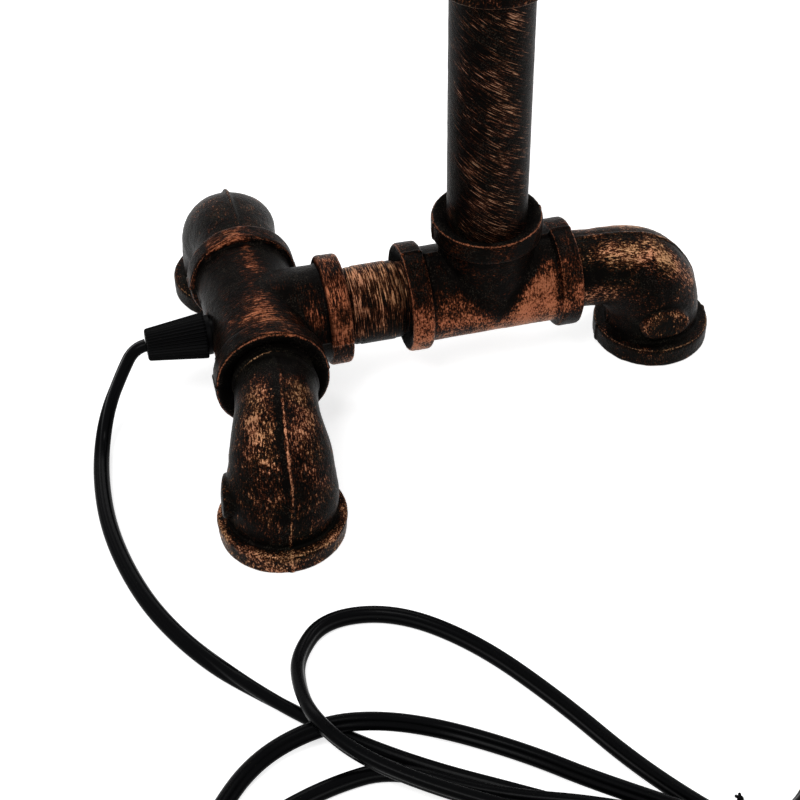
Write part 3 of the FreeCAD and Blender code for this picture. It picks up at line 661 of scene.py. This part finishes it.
def leg_tee_rub(grain, points):
    """Brown along the top of the run, copper flecks on the front of the branch."""
    x, y, z = offset(points, LEG_CENTRE).T
    band = spot(x, 1.5, 6 - 0.2 * np.clip(y, -20, 20)) * (z > 0)
    thinned = 1 - 0.6 * spot(y, 2, 5)
    front_band = spot(y, -17, 5) * spot(x, -2, 12) * (z > 0)
    run = -0.088 + np.maximum(0.118 * band * thinned, 0.10 * front_band) - 0.01 * (y < -BEAD_ROOT)
    back_bead = -0.075 + 0.075 * spot(x, -3, 13) * (z > 0)
    run = np.where(y > BEAD_ROOT, back_bead, run)
    flecks = spot(z, 8, 6) * spot(x, 18, 6) * (y < 0)
    branch = -0.09 + 0.11 * flecks + 0.10 * (x > BEAD_ROOT)
    return np.where(x > np.abs(y), branch, run)


def post_tee_rub(grain, points):
    """Black on top and round the branch, copper low down on both faces of the run."""
    x, _, z = offset(points, POST_CENTRE).T
    right = np.clip(x / 10, -1, 1)
    face = 0.5 - 0.5 * np.tanh((z - 10.5 - 2.0 * right) / 2.5)
    beside = 0.5 + 0.5 * np.tanh((np.abs(x) - z * 0.9 - 4) / 2)
    bottom = 0.5 - 0.5 * np.tanh((z + 15) / 1.5)
    run = -0.080 + (0.145 + 0.020 * right) * face * beside - 0.10 * bottom
    bead = np.where(x > 0, -0.06 + 0.095 * spot(z, 4, 8), -0.05 + 0.1 * face)
    run = np.where(np.abs(x) > BEAD_ROOT, bead, run)
    return np.where(z > np.abs(x) * 0.8, -0.068, run)


def elbow_rub(grain, points):
    """Copper flecks along the crest of the bend."""
    return -0.045 + 0.09 * spot(np.abs(round_bend(grain)), 20, 30) * spot(grain[:, 2], 15, 22)


def cup_rub(grain, points):
    return np.full(len(points), -0.04)


def post_rub_and_painted_light(grain, points):
    """Strokes on the front and back, few at the sides, so the copper paints a highlight down the front and back
    and shade at the sides.
    """
    way = offset(points, POST_CENTRE)[:, :2] * MM / PIPE_RADIUS
    # Copper gathers towards the front and back: a painted highlight down the front and back, painted shade at the
    # sides
    return -0.124 + 0.075 * np.abs(way @ np.array((-0.15, -0.99))) ** 1.5


def nipple_rub_and_painted_highlight(points, centre):
    """Brushed copper on the upper half, partly a painted highlight, dark below."""
    height = offset(points, centre)[:, 2] * MM / PIPE_RADIUS
    # The copper on the upper half is partly a painted highlight
    return -0.037 + 0.075 * np.tanh((height + 0.1) * 2)


def wound(points, centre):
    """A standing pipe whose grain climbs as it goes round. The seam faces the back."""
    grain = along_pipe(points, centre, Z)
    away = points - centre
    turn = np.arctan2(away[:, 0], -away[:, 1])
    grain[:, 2] += HELIX * PIPE_RADIUS * turn
    return grain


# How far each point is moved, from its grain and its place, both in metres


def no_change(grain, points):
    return np.zeros_like(points)


def shouldered(points, node):
    """The barrel steps down in narrow rings beside each fitting."""
    low, high = (corner.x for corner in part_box(node))
    gap = np.minimum(points[:, 0] - low, high - points[:, 0]) - THREAD_DEPTH
    depth = sum(step * (gap < reach * MM) for reach, step in BARREL_STEPS)
    away = (points - (points.min(0) + points.max(0)) / 2) * (0, 1, 1)
    return -away / (np.linalg.norm(away, axis=1, keepdims=True) + 1e-9) * (depth * MM)[:, None]


def tee_seam(points, centre, run, branch):
    """The parting line of a tee's beads, a low ridge in the plane of its run and branch."""
    away = points - centre
    along, up = away @ run, away @ branch
    outer = np.minimum(np.abs(along), np.abs(up)) > 15 * MM
    on_branch = up > np.abs(along)
    height = np.sign(np.where(on_branch, along, up)) * outer * spot(away @ run.cross(branch), 0, 0.5 * MM)
    return np.where(on_branch[:, None], run, branch) * (0.45 * MM * height)[:, None]


def leg_tee_shape(grain, points):
    """The lower half of the front bead hangs a little lower than its bore."""
    x, y, z = (points - LEG_CENTRE).T
    low = np.clip((-y - TEE_REACH + 9 * MM) / (3 * MM), 0, 1) * np.clip(-z / BEAD_RADIUS, 0, 1)
    sag = np.stack([2.6 * MM * low * x / BEAD_RADIUS, 0 * low, -1.6 * MM * low], 1)
    return tee_seam(points, LEG_CENTRE, Y, X) + sag


def post_tee_shape(grain, points):
    return tee_seam(points, POST_CENTRE, X, Z)


def turned_ridge(grain, to_tee, degrees):
    """The parting ridge runs a little to one side of the bend's plane."""
    side, out, length = grain.T
    share = np.clip(1 + length / (12 * MM), 0.3, 1) - 0.4 * np.clip((length - 26 * MM) / (8 * MM), 0, 1)
    turn = np.radians(degrees) * share * spot(round_bend(grain), 0, 55)
    bend = np.clip(length / FOOT_BEND, 0, math.pi / 2)[:, None]
    outward = np.cos(bend) * Z - np.sin(bend) * to_tee
    sideways = side * (np.cos(turn) - 1) + out * np.sin(turn)
    outwards = out * (np.cos(turn) - 1) - side * np.sin(turn)
    return sideways[:, None] * to_tee.cross(-Z) + outwards[:, None] * outward


def lifted_pad(points, node, way, moved):
    """The plain pad stands a little higher and prouder than the rest of its foot."""
    away = points - (foot_axis(node) + way * (PIPE_RADIUS + 1 * MM) + Z * 15 * MM)
    near = spot(np.linalg.norm(away, axis=1), 0, 10 * MM)[:, None]
    return near * (np.array(moved) * MM + 0.15 * away)


def fuller(points, node, extra, level, spread):
    """More breadth on the +X side of a foot's barrel, most at one height."""
    right = np.clip((points[:, 0] - foot_axis(node).x) / PIPE_RADIUS, 0, 1)
    return (extra * right * spot(points[:, 2], level, spread))[:, None] * X


def third_foot_shape(grain, points):
    """The foot stands a little forward of its tee's axis."""
    share = np.clip((points[:, 0] - (POST_CENTRE + X * TEE_REACH).x) / (12 * MM), 0, 1)
    forward = (share * share * (3 - 2 * share))[:, None] * (0, -1.1 * MM, 0)
    return forward + lifted_pad(points, "third_foot_elbow", -Y, (-3.0, -0.9, 3.4))


def front_foot_shape(grain, points):
    """The barrel leans a little outwards and has a narrow shoulder outside its tee."""
    node = "front_foot_elbow"
    side, out, length = grain.T
    lean = spot(points[:, 2], 24 * MM, 15 * MM)[:, None] * (1 * MM, 0, 0)
    ring = np.stack([side, out], 1) / (np.hypot(side, out) + 1e-9)[:, None]
    shoulder = 0.8 * MM * spot(length, -10 * MM, 0.8 * MM) * (np.hypot(side, out) > 12 * MM)
    barrel = lean + shoulder[:, None] * (ring[:, 1:] * Z - ring[:, :1] * X)
    barrel = barrel + fuller(points, node, 1.5 * MM, 15 * MM, 8 * MM)
    return barrel + lifted_pad(points, node, -X, (-1.8, 0.6, 3.6)) + turned_ridge(grain, Y, -10)


def back_foot_shape(grain, points):
    """The parting ridge along the outside of the bend is higher than on the other feet."""
    side, out, length = grain.T
    ridge = 0.8 * MM * spot(side, 0, 0.8 * MM) * (out > 0) * spot(length, 16 * MM, 16 * MM)
    away = points - (points.min(0) + points.max(0)) / 2
    higher = away / np.linalg.norm(away, axis=1, keepdims=True) * ridge[:, None]
    full = fuller(points, "back_foot_elbow", 1.8 * MM, 38 * MM, 14 * MM)
    return higher + full + turned_ridge(grain, -Y, 6)


def rim_lines(points, mouths):
    """Bright lines along each bead's two corners, partly edge wear and partly painted glints, and how far inside
    its dished mouth a point lies. Round the front foot's shoulder the line is a painted highlight.
    """
    wear_and_glint_lines = np.zeros(len(points))
    inside = np.zeros(len(points))
    for face, inward, rim in mouths:
        away = points - face
        depth = away @ inward
        radius = np.linalg.norm(away - depth[:, None] * inward, axis=1)
        # Bright lines on the bead corners, partly wear and partly painted glints
        for corner, strength in ((0.3 * MM, 1.0), (BEAD_WIDTH - 0.3 * MM, 0.9)):
            line = spot(np.hypot(radius - rim + 0.3 * MM, depth - corner), 0, 0.5 * MM)
            wear_and_glint_lines = np.maximum(wear_and_glint_lines, strength * line)
        dish = (radius < rim - 0.9 * MM) * (np.abs(depth - 1.3 * MM) < 2 * MM)
        bore = (radius < PIPE_RADIUS + 1.2 * MM) * (np.abs(depth - 8 * MM) < 7 * MM)
        inside = np.maximum(inside, np.maximum(dish, bore))
    return wear_and_glint_lines, inside


def cast_part(
    node,
    straighten,
    rub,
    stretch,
    stroke_share=0.5,
    stroke_scale=2300.0,
    rough=1.0,
    shape=no_change,
    mouths=(),
    gold=0.5,
    tint=PALE,
    contrast=1.3,
    facets=1.0,
):
    """One rubbed fitting or pipe: even facets, cast grain, and the marks that its finish reads."""
    sizes = bpy.context.scene.casting_sizes
    even = remeshed(node, node + "_cast", sizes.voxel * facets)
    obj = plain_mesh(roughened(even, sizes, rough))
    mesh = obj.data
    points = positions(mesh)
    grain = straighten(points)
    mesh.vertices.foreach_set("co", (points + shape(grain, points)).astype(np.float32).ravel())
    mesh.update()
    fine = convexity(mesh, 10)
    broad = convexity(mesh, 70) / BROAD_RELIEF
    crest = CREST_RUB * np.clip(broad, 0, 1)
    hollow = HOLLOW_RUB * np.clip(-broad, 0, 1)
    sharp = EDGE_WEAR * np.clip(fine / np.percentile(fine[fine > 0], 99), -1, 1.2)
    wear_and_glint_lines, inside = rim_lines(points, mouths)
    # The rub also carries painted highlight and shade on the feet, post and nipples
    rubbed = RUB_SHARE * rub(grain / MM, points / MM) + RUB_LEVEL
    set_attribute(mesh, "grain", grain)
    set_attribute(mesh, "inside", inside)
    # Edge wear, with bead-corner lines that are partly painted glints and the painted highlight round the front
    # foot's shoulder
    set_attribute(mesh, "wear_and_glint", np.maximum(sharp + 2 * np.minimum(rubbed, 0), wear_and_glint_lines))
    set_attribute(mesh, "rub", rubbed + crest - hollow - INSIDE_RUB * inside)
    material = rubbed_enamel("enamel_" + node, stretch, stroke_scale, stroke_share, gold, tint, contrast)
    return finish(obj, node, material)


class LAMP_OT_castings(bpy.types.Operator):
    """The beaded tees, elbows and feet, sand cast, enamelled black and rubbed back to copper, with painted
    highlight and shade on the feet
    """

    bl_idname = "pipelamp.castings"
    bl_label = "Castings"

    def execute(self, context):
        front_face = LEG_CENTRE - Y * TEE_REACH
        # Round the front foot's shoulder the bright line is a painted highlight, the glint of its step edge
        shoulder = (front_face - Y * SHOULDER_OFFSET, Y, SHOULDER_RADIUS)
        for node, face, rub, shape, rings in (
            ("third_foot_elbow", POST_CENTRE + X * TEE_REACH, third_foot_rub_and_painted_highlight, third_foot_shape, ()),
            ("front_foot_elbow", front_face, front_foot_rub_and_painted_light, front_foot_shape, (shoulder,)),
            ("back_foot_elbow", LEG_CENTRE + Y * TEE_REACH, back_foot_rub_and_painted_light, back_foot_shape, ()),
        ):
            mouths = (foot_mouth(node), *rings)
            cast_part(node, foot_grain(node, face), rub, ALONG, shape=shape, mouths=mouths, gold=0.6)
        cast_part(
            "leg_tee",
            lambda p: along_tee(p, LEG_CENTRE, Y, X),
            leg_tee_rub,
            ROUND,
            stroke_share=0.6,
            stroke_scale=2800,
            shape=leg_tee_shape,
            mouths=tee_mouths(LEG_CENTRE, (Y, -Y, X)),
            gold=0.2,
            tint=DEEP,
            contrast=1.05,
        )
        cast_part(
            "post_tee",
            lambda p: along_tee(p, POST_CENTRE, X, Z),
            post_tee_rub,
            DRIPS,
            shape=post_tee_shape,
            mouths=tee_mouths(POST_CENTRE, (X, -X, Z)),
            gold=0.15,
            tint=DEEP,
            contrast=1.05,
        )
        for node, corner, first, last in (("swing_elbow", SWIVEL, -X, -Z), ("head_elbow", TILT, X, Z)):
            cast_part(
                node,
                lambda p: along_bend(p, corner, first, last, ELBOW_BEND),
                elbow_rub,
                ALONG,
                mouths=tee_mouths(corner, (first, last)),
            )
        cast_part("lamp_cup", lambda p: along_pipe(p, TILT, Z), cup_rub, ROUND, facets=1.3)
        return {"FINISHED"}


class LAMP_OT_pipes(bpy.types.Operator):
    """The post and the two nipples, brushed round, with painted highlight and shade"""

    bl_idname = "pipelamp.pipes"
    bl_label = "Pipes"

    def execute(self, context):
        cast_part(
            "post",
            lambda p: wound(p, POST_CENTRE),
            post_rub_and_painted_light,
            HAIRS,
            stroke_share=0.8,
            stroke_scale=3600,
            rough=0.35,
            gold=0.3,
            tint=DULL,
        )
        for node, centre in (("spine_nipple", POST_CENTRE), ("arm_nipple", SWIVEL)):
            cast_part(
                node,
                lambda p: along_pipe(p, centre, X),
                lambda grain, points: nipple_rub_and_painted_highlight(points, centre),
                HAIRS,
                stroke_share=0.8,
                stroke_scale=3400,
                rough=0.3,
                shape=lambda grain, points: shouldered(points, node),
                gold=0.4,
                contrast=1.15,
            )
        return {"FINISHED"}


# Lead


def new_curve(name, kind, points):
    curve = bpy.data.curves.new(name, "CURVE")
    curve.dimensions = "3D"
    spline = curve.splines.new(kind)
    spline.points.add(len(points) - 1)
    for point, place in zip(spline.points, points):
        point.co = (*place, 1)
    return curve, spline


def route_curve(name, points):
    """One smooth spline with the route's points as its control points."""
    curve, spline = new_curve(name, "NURBS", points)
    curve.resolution_u = 10
    curve.twist_mode = "Z_UP"
    spline.order_u = 3
    spline.use_endpoint_u = True
    return linked(name, curve)


def sweep_tree(name, inputs, section):
    """Geometry Nodes: a section swept along a curve and scaled by its radii.

    The section gives its number of corners and where each corner of a plain circle goes."""
    tree = bpy.data.node_groups.new(name, "GeometryNodeTree")
    tree.interface.new_socket("Geometry", in_out="OUTPUT", socket_type="NodeSocketGeometry")
    for label, kind in {"Geometry": "Geometry", **inputs, "Material": "Material"}.items():
        tree.interface.new_socket(label, in_out="INPUT", socket_type="NodeSocket" + kind)
    source = tree.nodes.new("NodeGroupInput").outputs
    place = add(tree, "GeometryNodeInputPosition").outputs[0]
    corners, moved = section(tree, source, place, add(tree, "ShaderNodeSeparateXYZ", {0: place}).outputs)
    circle = add(tree, "GeometryNodeCurvePrimitiveCircle", {"Resolution": corners, "Radius": 1.0})
    outline = add(tree, "GeometryNodeSetPosition", {"Geometry": circle.outputs[0], "Position": moved})
    course = {
        "Curve": source["Geometry"],
        "Profile Curve": outline.outputs[0],
        "Scale": add(tree, "GeometryNodeInputRadius").outputs[0],
        "Fill Caps": True,
    }
    sweep = add(tree, "GeometryNodeCurveToMesh", course)
    whole = add(tree, "GeometryNodeRealizeInstances", {0: sweep.outputs[0]})
    painted = {"Geometry": whole.outputs[0], "Material": source["Material"]}
    add(tree, "NodeGroupOutput", {0: add(tree, "GeometryNodeSetMaterial", painted).outputs[0]})
    return tree


def flat_section(tree, values, place, axes):
    """A flat twin lead, with a groove between its cores."""
    across = times(axes[0], times(values["Width"], 0.5))
    steep = maths("POWER", maths("ABSOLUTE", axes[0]), 2.0)
    near = maths("EXPONENT", times(steep, -14.0))
    dip = maths("SUBTRACT", 1.0, times(near, values["Groove"]))
    round_up = maths("POWER", maths("ABSOLUTE", axes[1]), 0.72)
    height = times(values["Thickness"], 0.5)
    up = times(times(maths("SIGN", axes[1]), round_up, dip), height)
    return 40, add(tree, "ShaderNodeCombineXYZ", {0: across, 1: up}).outputs[0]


def ribbed_section(tree, values, place, axes):
    """A circle with ribs."""
    angle = maths("ARCTAN2", axes[1], axes[0])
    wave = maths("COSINE", times(angle, values["Ribs"]))
    dip = times(maths("SUBTRACT", 0.5, times(wave, 0.5)), values["Rib depth"])
    scale = maths("SUBTRACT", 1.0, dip)
    moved = add(tree, "ShaderNodeVectorMath", {0: place, "Scale": scale}, operation="SCALE").outputs[0]
    return times(values["Ribs"], 8.0), moved


def turned(name, start, axis, stations, ribs, depth, material):
    """A turned piece from (distance, radius) stations in millimetres along axis."""
    points = [start + axis * distance * MM for distance, _ in stations]
    curve, spline = new_curve(name, "POLY", points)
    for point, (_, radius) in zip(spline.points, stations):
        point.radius = radius * MM
    tree = bpy.data.node_groups.get("ribbed_turning")
    tree = tree or sweep_tree("ribbed_turning", {"Ribs": "Int", "Rib depth": "Float"}, ribbed_section)
    return with_nodes(linked(name, curve), tree, {"Ribs": ribs, "Rib depth": depth, "Material": material})


def one_piece(name, pieces, sharp=40):
    """Joins made pieces into one mesh whose edges stay crisp."""
    shape = bmesh.new()
    for piece in pieces:
        shape.from_mesh(piece.data)
        bpy.data.objects.remove(piece)
    bmesh.ops.recalc_face_normals(shape, faces=shape.faces)
    for edge in shape.edges:
        edge.smooth = len(edge.link_faces) != 2 or edge.calc_face_angle() < math.radians(sharp)
    mesh = bpy.data.meshes.new(name)
    shape.to_mesh(mesh)
    shape.free()
    return linked(name, mesh)


def with_nodes(obj, tree, values):
    """Runs a Geometry Nodes tree on obj and keeps the plain mesh."""
    modifier = obj.modifiers.new(tree.name, "NODES")
    modifier.node_group = tree
    for item in tree.interface.items_tree:
        if item.in_out == "INPUT" and item.name in values:
            modifier[item.identifier] = values[item.name]
    return plain_mesh(obj)


def line_of(curve):
    """The points of a bare curve's own line."""
    mesh = bpy.data.meshes.new_from_object(curve)
    points = [vertex.co.copy() for vertex in mesh.vertices]
    bpy.data.meshes.remove(mesh)
    return points


def strip(name, points, width, thickness, closed=False, turn=0.0):
    """A flat strip along points, turned about its own line."""
    curve, spline = new_curve(name, "POLY", points)
    curve.extrude = max(width - thickness, 0) / 2
    curve.bevel_depth = thickness / 2
    curve.bevel_resolution = 3
    curve.use_fill_caps = True
    for point in spline.points:
        point.tilt = turn
    spline.use_cyclic_u = closed
    return plain_mesh(linked(name, curve))


def wire_tie(material):
    """A plastic-covered wire round the hank, with its ends twisted together."""
    low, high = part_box("hank_tie")
    middle = (low + high) / 2
    half = (high - low) / 2 - Vector((0, 0.5, 0.5)) * MM
    ring = []
    for k in range(48):
        turn = math.tau * k / 48
        across, up = math.cos(turn), math.sin(turn)
        bulge = (abs(across) ** 3 + abs(up) ** 3) ** (-1 / 3)
        ring.append(middle + Vector((0, half.y * across * bulge, half.z * up * bulge)))
    pieces = [strip("tie_ring", ring, 3.0 * MM, 0.9 * MM, True, math.pi / 2)]
    root = Vector((middle.x, high.y - 1.5 * MM, high.z - 1.2 * MM))
    way = Vector((-0.35, 0.75, 0.55)).normalized()
    side = way.orthogonal().normalized()
    other = way.cross(side)
    for start in (0, math.pi):
        twist = []
        for k in range(40):
            turn = start + k * 0.42
            away = (side * math.cos(turn) + other * math.sin(turn)) * 0.55 * MM
            twist.append(root + way * k * 0.16 * MM + away)
        pieces.append(strip("tie_end", twist, 0.9 * MM, 0.9 * MM))
    return finish(one_piece("wire_tie", pieces), "hank_tie", material)


def plug_shell(material):
    """The moulded plug with its ringed strain relief."""
    body = plain_mesh(remeshed("plug_body", "plug_form", 0.45 * MM, 6))
    entry = Vector(ROUTE[-1]) * MM + X * POST_CENTRE.x
    stations = [(0, 2.9)]
    for k in range(7):
        at = 1.2 + k * 2.1
        for further, radius in ((0, 3.5), (1.2, 3.6), (1.25, 3.1), (2.05, 3.1)):
            stations.append((at + further, radius + 0.14 * k))
    relief = turned("plug_relief", entry + X * 0.8 * MM, -X, stations, 6, 0.0, material)
    return finish(one_piece("plug_shell", [body, relief]), "plug_body", material)


class LAMP_OT_lead(bpy.types.Operator):
    """The flat twin lead, its hank and its tie"""

    bl_idname = "pipelamp.lead"
    bl_label = "Lead"

    def execute(self, context):
        sizes = context.scene.lead_sizes
        points = [Vector(p) * MM + X * POST_CENTRE.x for p in ROUTE]
        curve = route_curve("lead", points)
        leans = [lean for stretch, lean in STRETCHES for _ in stretch]
        for point, lean in zip(curve.data.splines[0].points, leans):
            point.tilt = lean + sizes.lean
        path = line_of(curve)
        rubber = plain_material("lead_rubber", (0.0014, 0.0015, 0.0018), 0.27)
        measures = {"Width": sizes.width, "Thickness": sizes.thickness, "Groove": sizes.groove}
        tree = sweep_tree("flat_twin_lead", dict.fromkeys(measures, "Float"), flat_section)
        lead = with_nodes(curve, tree, {**measures, "Material": rubber})
        lead.data.shade_smooth()
        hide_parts("cord_lead", "cord_hank", "cord_tail")
        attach(lead, "base")
        tie = wire_tie(plain_material("tie", (0.003, 0.003, 0.003), 0.5))
        plug = plug_shell(plain_material("plug", (0.003, 0.003, 0.0033), 0.45))
        dress(["plug_pins"], plain_material("pins", (0.30, 0.24, 0.13), 0.35, 1.0))
        return {"FINISHED"}


def ribbed_grip(material):
    """The cord grip: a ribbed cone, a smooth neck and a shank."""
    sizes = bpy.context.scene.moulding_sizes
    low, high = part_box("cord_grip")
    start = Vector((low.x, (low.y + high.y) / 2, (low.z + high.z) / 2))
    length = (high.x - low.x) / MM
    cone = [(0, 4.9), (0.35, 5.35), (0.8, 5.5), (19.0, 7.75), (19.7, 7.8), (20.0, 7.5)]
    neck = [(19.8, 6.7), (21.55, 6.7), (21.6, 5.0), (length, 5.0)]
    pieces = [
        turned("grip_cone", start, X, cone, sizes.grip_ribs, sizes.grip_rib_depth, material),
        turned("grip_neck", start, X, neck, 12, 0.0, material),
    ]
    return finish(one_piece("ribbed_grip", pieces, 60), "cord_grip", material)


def fluted_knob(material, paint):
    """The switch's knob with its painted pointer."""
    sizes = bpy.context.scene.moulding_sizes
    low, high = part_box("switch_knob")
    crown = Vector((KNOB_AXIS.x, low.y, KNOB_AXIS.z))
    length = (high.y - low.y) / MM
    head = [(0, 5.6), (0.25, 6.2), (0.9, 6.75), (9.2, 7.1), (9.4, 7.1)]
    skirt = [(9.2, 7.3), (9.5, 7.8), (12.7, 8.0), (13.0, 7.8)]
    shaft = [(12.9, 2.95), (length, 2.95)]
    pieces = [
        turned("knob_head", crown, Y, head, sizes.knob_flutes, sizes.knob_flute_depth, material),
        turned("knob_skirt", crown, Y, skirt, 12, 0.0, material),
        turned("knob_shaft", crown, Y, shaft, 6, 0.0, material),
    ]
    knob = finish(one_piece("fluted_knob", pieces, 50), "switch_knob", material)
    mark = [crown + Z * 1.2 * MM, crown + Z * 5.4 * MM]
    line = strip("knob_pointer", mark, 0.9 * MM, 0.3 * MM)
    cover(line, paint)
    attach(line, "knob")
    return knob


class LAMP_OT_fittings(bpy.types.Operator):
    """The grip, wiring, holder, switch and bulb"""

    bl_idname = "pipelamp.fittings"
    bl_label = "Fittings"

    def execute(self, context):
        black = plain_material("black_nylon", (0.0016, 0.0016, 0.0018), 0.45)
        dress(("grip_nut", "switch_housing", "bulb_insulator"), black)
        ribbed_grip(black)
        bakelite = plain_material("bakelite", (0.006, 0.005, 0.005), 0.28)
        fluted_knob(bakelite, plain_material("paint", (0.7, 0.68, 0.62), 0.5))
        white = plain_material("flex_sheath", (0.8, 0.8, 0.78), 0.5)
        dress(("base_flex", "arm_flex", "head_flex", "head_leads"), white)
        zinc = plain_material("zinc", (0.6, 0.6, 0.58), 0.35, 1.0)
        dress(("hollow_stud", "stud_nut", "bush_nut", "holder_screws"), zinc)
        dress(("bulb_tip", "filament", "filament_hooks"), zinc)
        brass = plain_material("brass", (0.75, 0.52, 0.25), 0.3, 1.0)
        dress(("screw_shell", "centre_contact", "bulb_cap"), brass)
        dress(["holder_insulator"], plain_material("porcelain", (0.8, 0.79, 0.75), 0.15))
        glass = plain_material("glass", context.scene.bulb_sizes.tint[:], 0.06, transmission=1.0)
        dress(("bulb_envelope", "bulb_stem"), glass)
        return {"FINISHED"}


class LAMP_OT_camera(bpy.types.Operator):
    """The camera, above and in front of the base"""

    bl_idname = "pipelamp.camera"
    bl_label = "Camera"

    def execute(self, context):
        data = bpy.data.cameras.new("camera")
        data.sensor_width = 36
        data.lens = EYE_FOCAL_PIXELS * data.sensor_width / IMAGE_WIDTH
        data.clip_start = 0.01
        data.clip_end = 50
        look = Euler((math.pi / 2 - EYE_PITCH, 0, -EYE_YAW)).to_matrix().to_4x4()
        roll = Matrix.Rotation(EYE_ROLL, 4, "Z")
        camera = linked("camera", data)
        camera.matrix_world = Matrix.Translation(Vector(EYE) + X * POST_CENTRE.x) @ look @ roll
        context.scene.camera = camera
        return {"FINISHED"}


def softbox(name, place, target, side, power):
    data = bpy.data.lights.new(name, "AREA")
    data.shape = "RECTANGLE"
    data.size, data.size_y = side
    data.energy = power
    lamp = linked(name, data)
    lamp.location = place
    lamp.rotation_euler = (target - place).to_track_quat("-Z", "Y").to_euler()


def looked_at(tree):
    """1 where the camera sees a surface, straight on or mirrored or through glass."""
    rays = add(tree, "ShaderNodeLightPath").outputs
    through = maths("MAXIMUM", rays["Is Camera Ray"], rays["Is Transmission Ray"])
    return maths("MAXIMUM", through, rays["Is Glossy Ray"])


def paper_material(name):
    """White paper that keeps a faint shadow and lights the lamp no more than white paper does."""
    material, tree = empty_material(name)
    glow = times(looked_at(tree), 0.72)
    white = add(tree, "ShaderNodeEmission", {"Color": (1, 1, 1, 1), "Strength": glow})
    paper = add(tree, "ShaderNodeBsdfDiffuse", {"Color": (0.8, 0.8, 0.8, 1)})
    mixed = add(tree, "ShaderNodeAddShader", {0: paper.outputs[0], 1: white.outputs[0]})
    add(tree, "ShaderNodeOutputMaterial", {"Surface": mixed.outputs[0]})
    return material


class LAMP_OT_stage(bpy.types.Operator):
    """The white floor, the softboxes and the pale surroundings"""

    bl_idname = "pipelamp.stage"
    bl_label = "Stage"

    def execute(self, context):
        sizes = context.scene.stage_sizes
        mesh = bpy.data.meshes.new("floor")
        half = sizes.floor_side / 2
        corners = [(-half, -half, 0), (half, -half, 0), (half, half, 0), (-half, half, 0)]
        mesh.from_pydata(corners, [], [(0, 1, 2, 3)])
        floor = linked("floor", mesh)
        mesh.materials.append(paper_material("paper"))
        target = Vector((-0.03, 0, 0.08))
        softbox("key", Vector((-0.45, -0.55, 1.1)), target, (0.45, 0.45), sizes.key_power)
        softbox("fill", Vector((0.75, 0.1, 0.9)), target, (0.4, 0.6), sizes.fill_power)
        softbox("back", Vector((-0.1, 0.95, 0.9)), target, (0.9, 0.35), sizes.back_power)
        world = bpy.data.worlds.new("surroundings")
        context.scene.world = world
        world.use_nodes = True
        tree = world.node_tree
        tree.nodes.clear()
        strength = plus(sizes.sky, times(looked_at(tree), 1 - sizes.sky))
        sky = add(tree, "ShaderNodeBackground", {"Color": (1, 1, 1, 1), "Strength": strength})
        add(tree, "ShaderNodeOutputWorld", {"Surface": sky.outputs[0]})
        context.scene.view_settings.view_transform = "Standard"
        return {"FINISHED"}


class LAMP_PT_pieces(bpy.types.Panel):
    """Makes the lamp's pieces one by one"""

    bl_idname = "LAMP_PT_pieces"
    bl_label = "Pipe lamp"
    bl_space_type = "VIEW_3D"
    bl_region_type = "UI"
    bl_category = "Pipe lamp"

    def draw(self, context):
        for operator in OPERATORS:
            self.layout.operator(operator.bl_idname)
        for group in PROPERTY_GROUPS:
            box = self.layout.box()
            values = getattr(context.scene, group)
            for name in values.bl_rna.properties.keys():
                if name not in ("rna_type", "name"):
                    box.prop(values, name)


OPERATORS = (
    LAMP_OT_camera,
    LAMP_OT_lead,
    LAMP_OT_castings,
    LAMP_OT_pipes,
    LAMP_OT_fittings,
    LAMP_OT_stage,
)
PROPERTY_GROUPS = {
    "casting_sizes": CastingSizes,
    "enamel_colours": EnamelColours,
    "lead_sizes": LeadSizes,
    "moulding_sizes": MouldingSizes,
    "bulb_sizes": BulbSizes,
    "stage_sizes": StageSizes,
}


def register():
    for group, kind in PROPERTY_GROUPS.items():
        bpy.utils.register_class(kind)
        setattr(bpy.types.Scene, group, PointerProperty(type=kind))
    for kind in (*OPERATORS, LAMP_PT_pieces):
        bpy.utils.register_class(kind)


def unregister():
    for kind in (LAMP_PT_pieces, *reversed(OPERATORS)):
        bpy.utils.unregister_class(kind)
    for group, kind in PROPERTY_GROUPS.items():
        delattr(bpy.types.Scene, group)
        bpy.utils.unregister_class(kind)


def main():
    register()
    bpy.ops.pipelamp.camera()
    bpy.ops.pipelamp.lead()
    bpy.ops.pipelamp.castings()
    bpy.ops.pipelamp.pipes()
    bpy.ops.pipelamp.fittings()
    bpy.ops.pipelamp.stage()


if __name__ == "__main__":
    main()
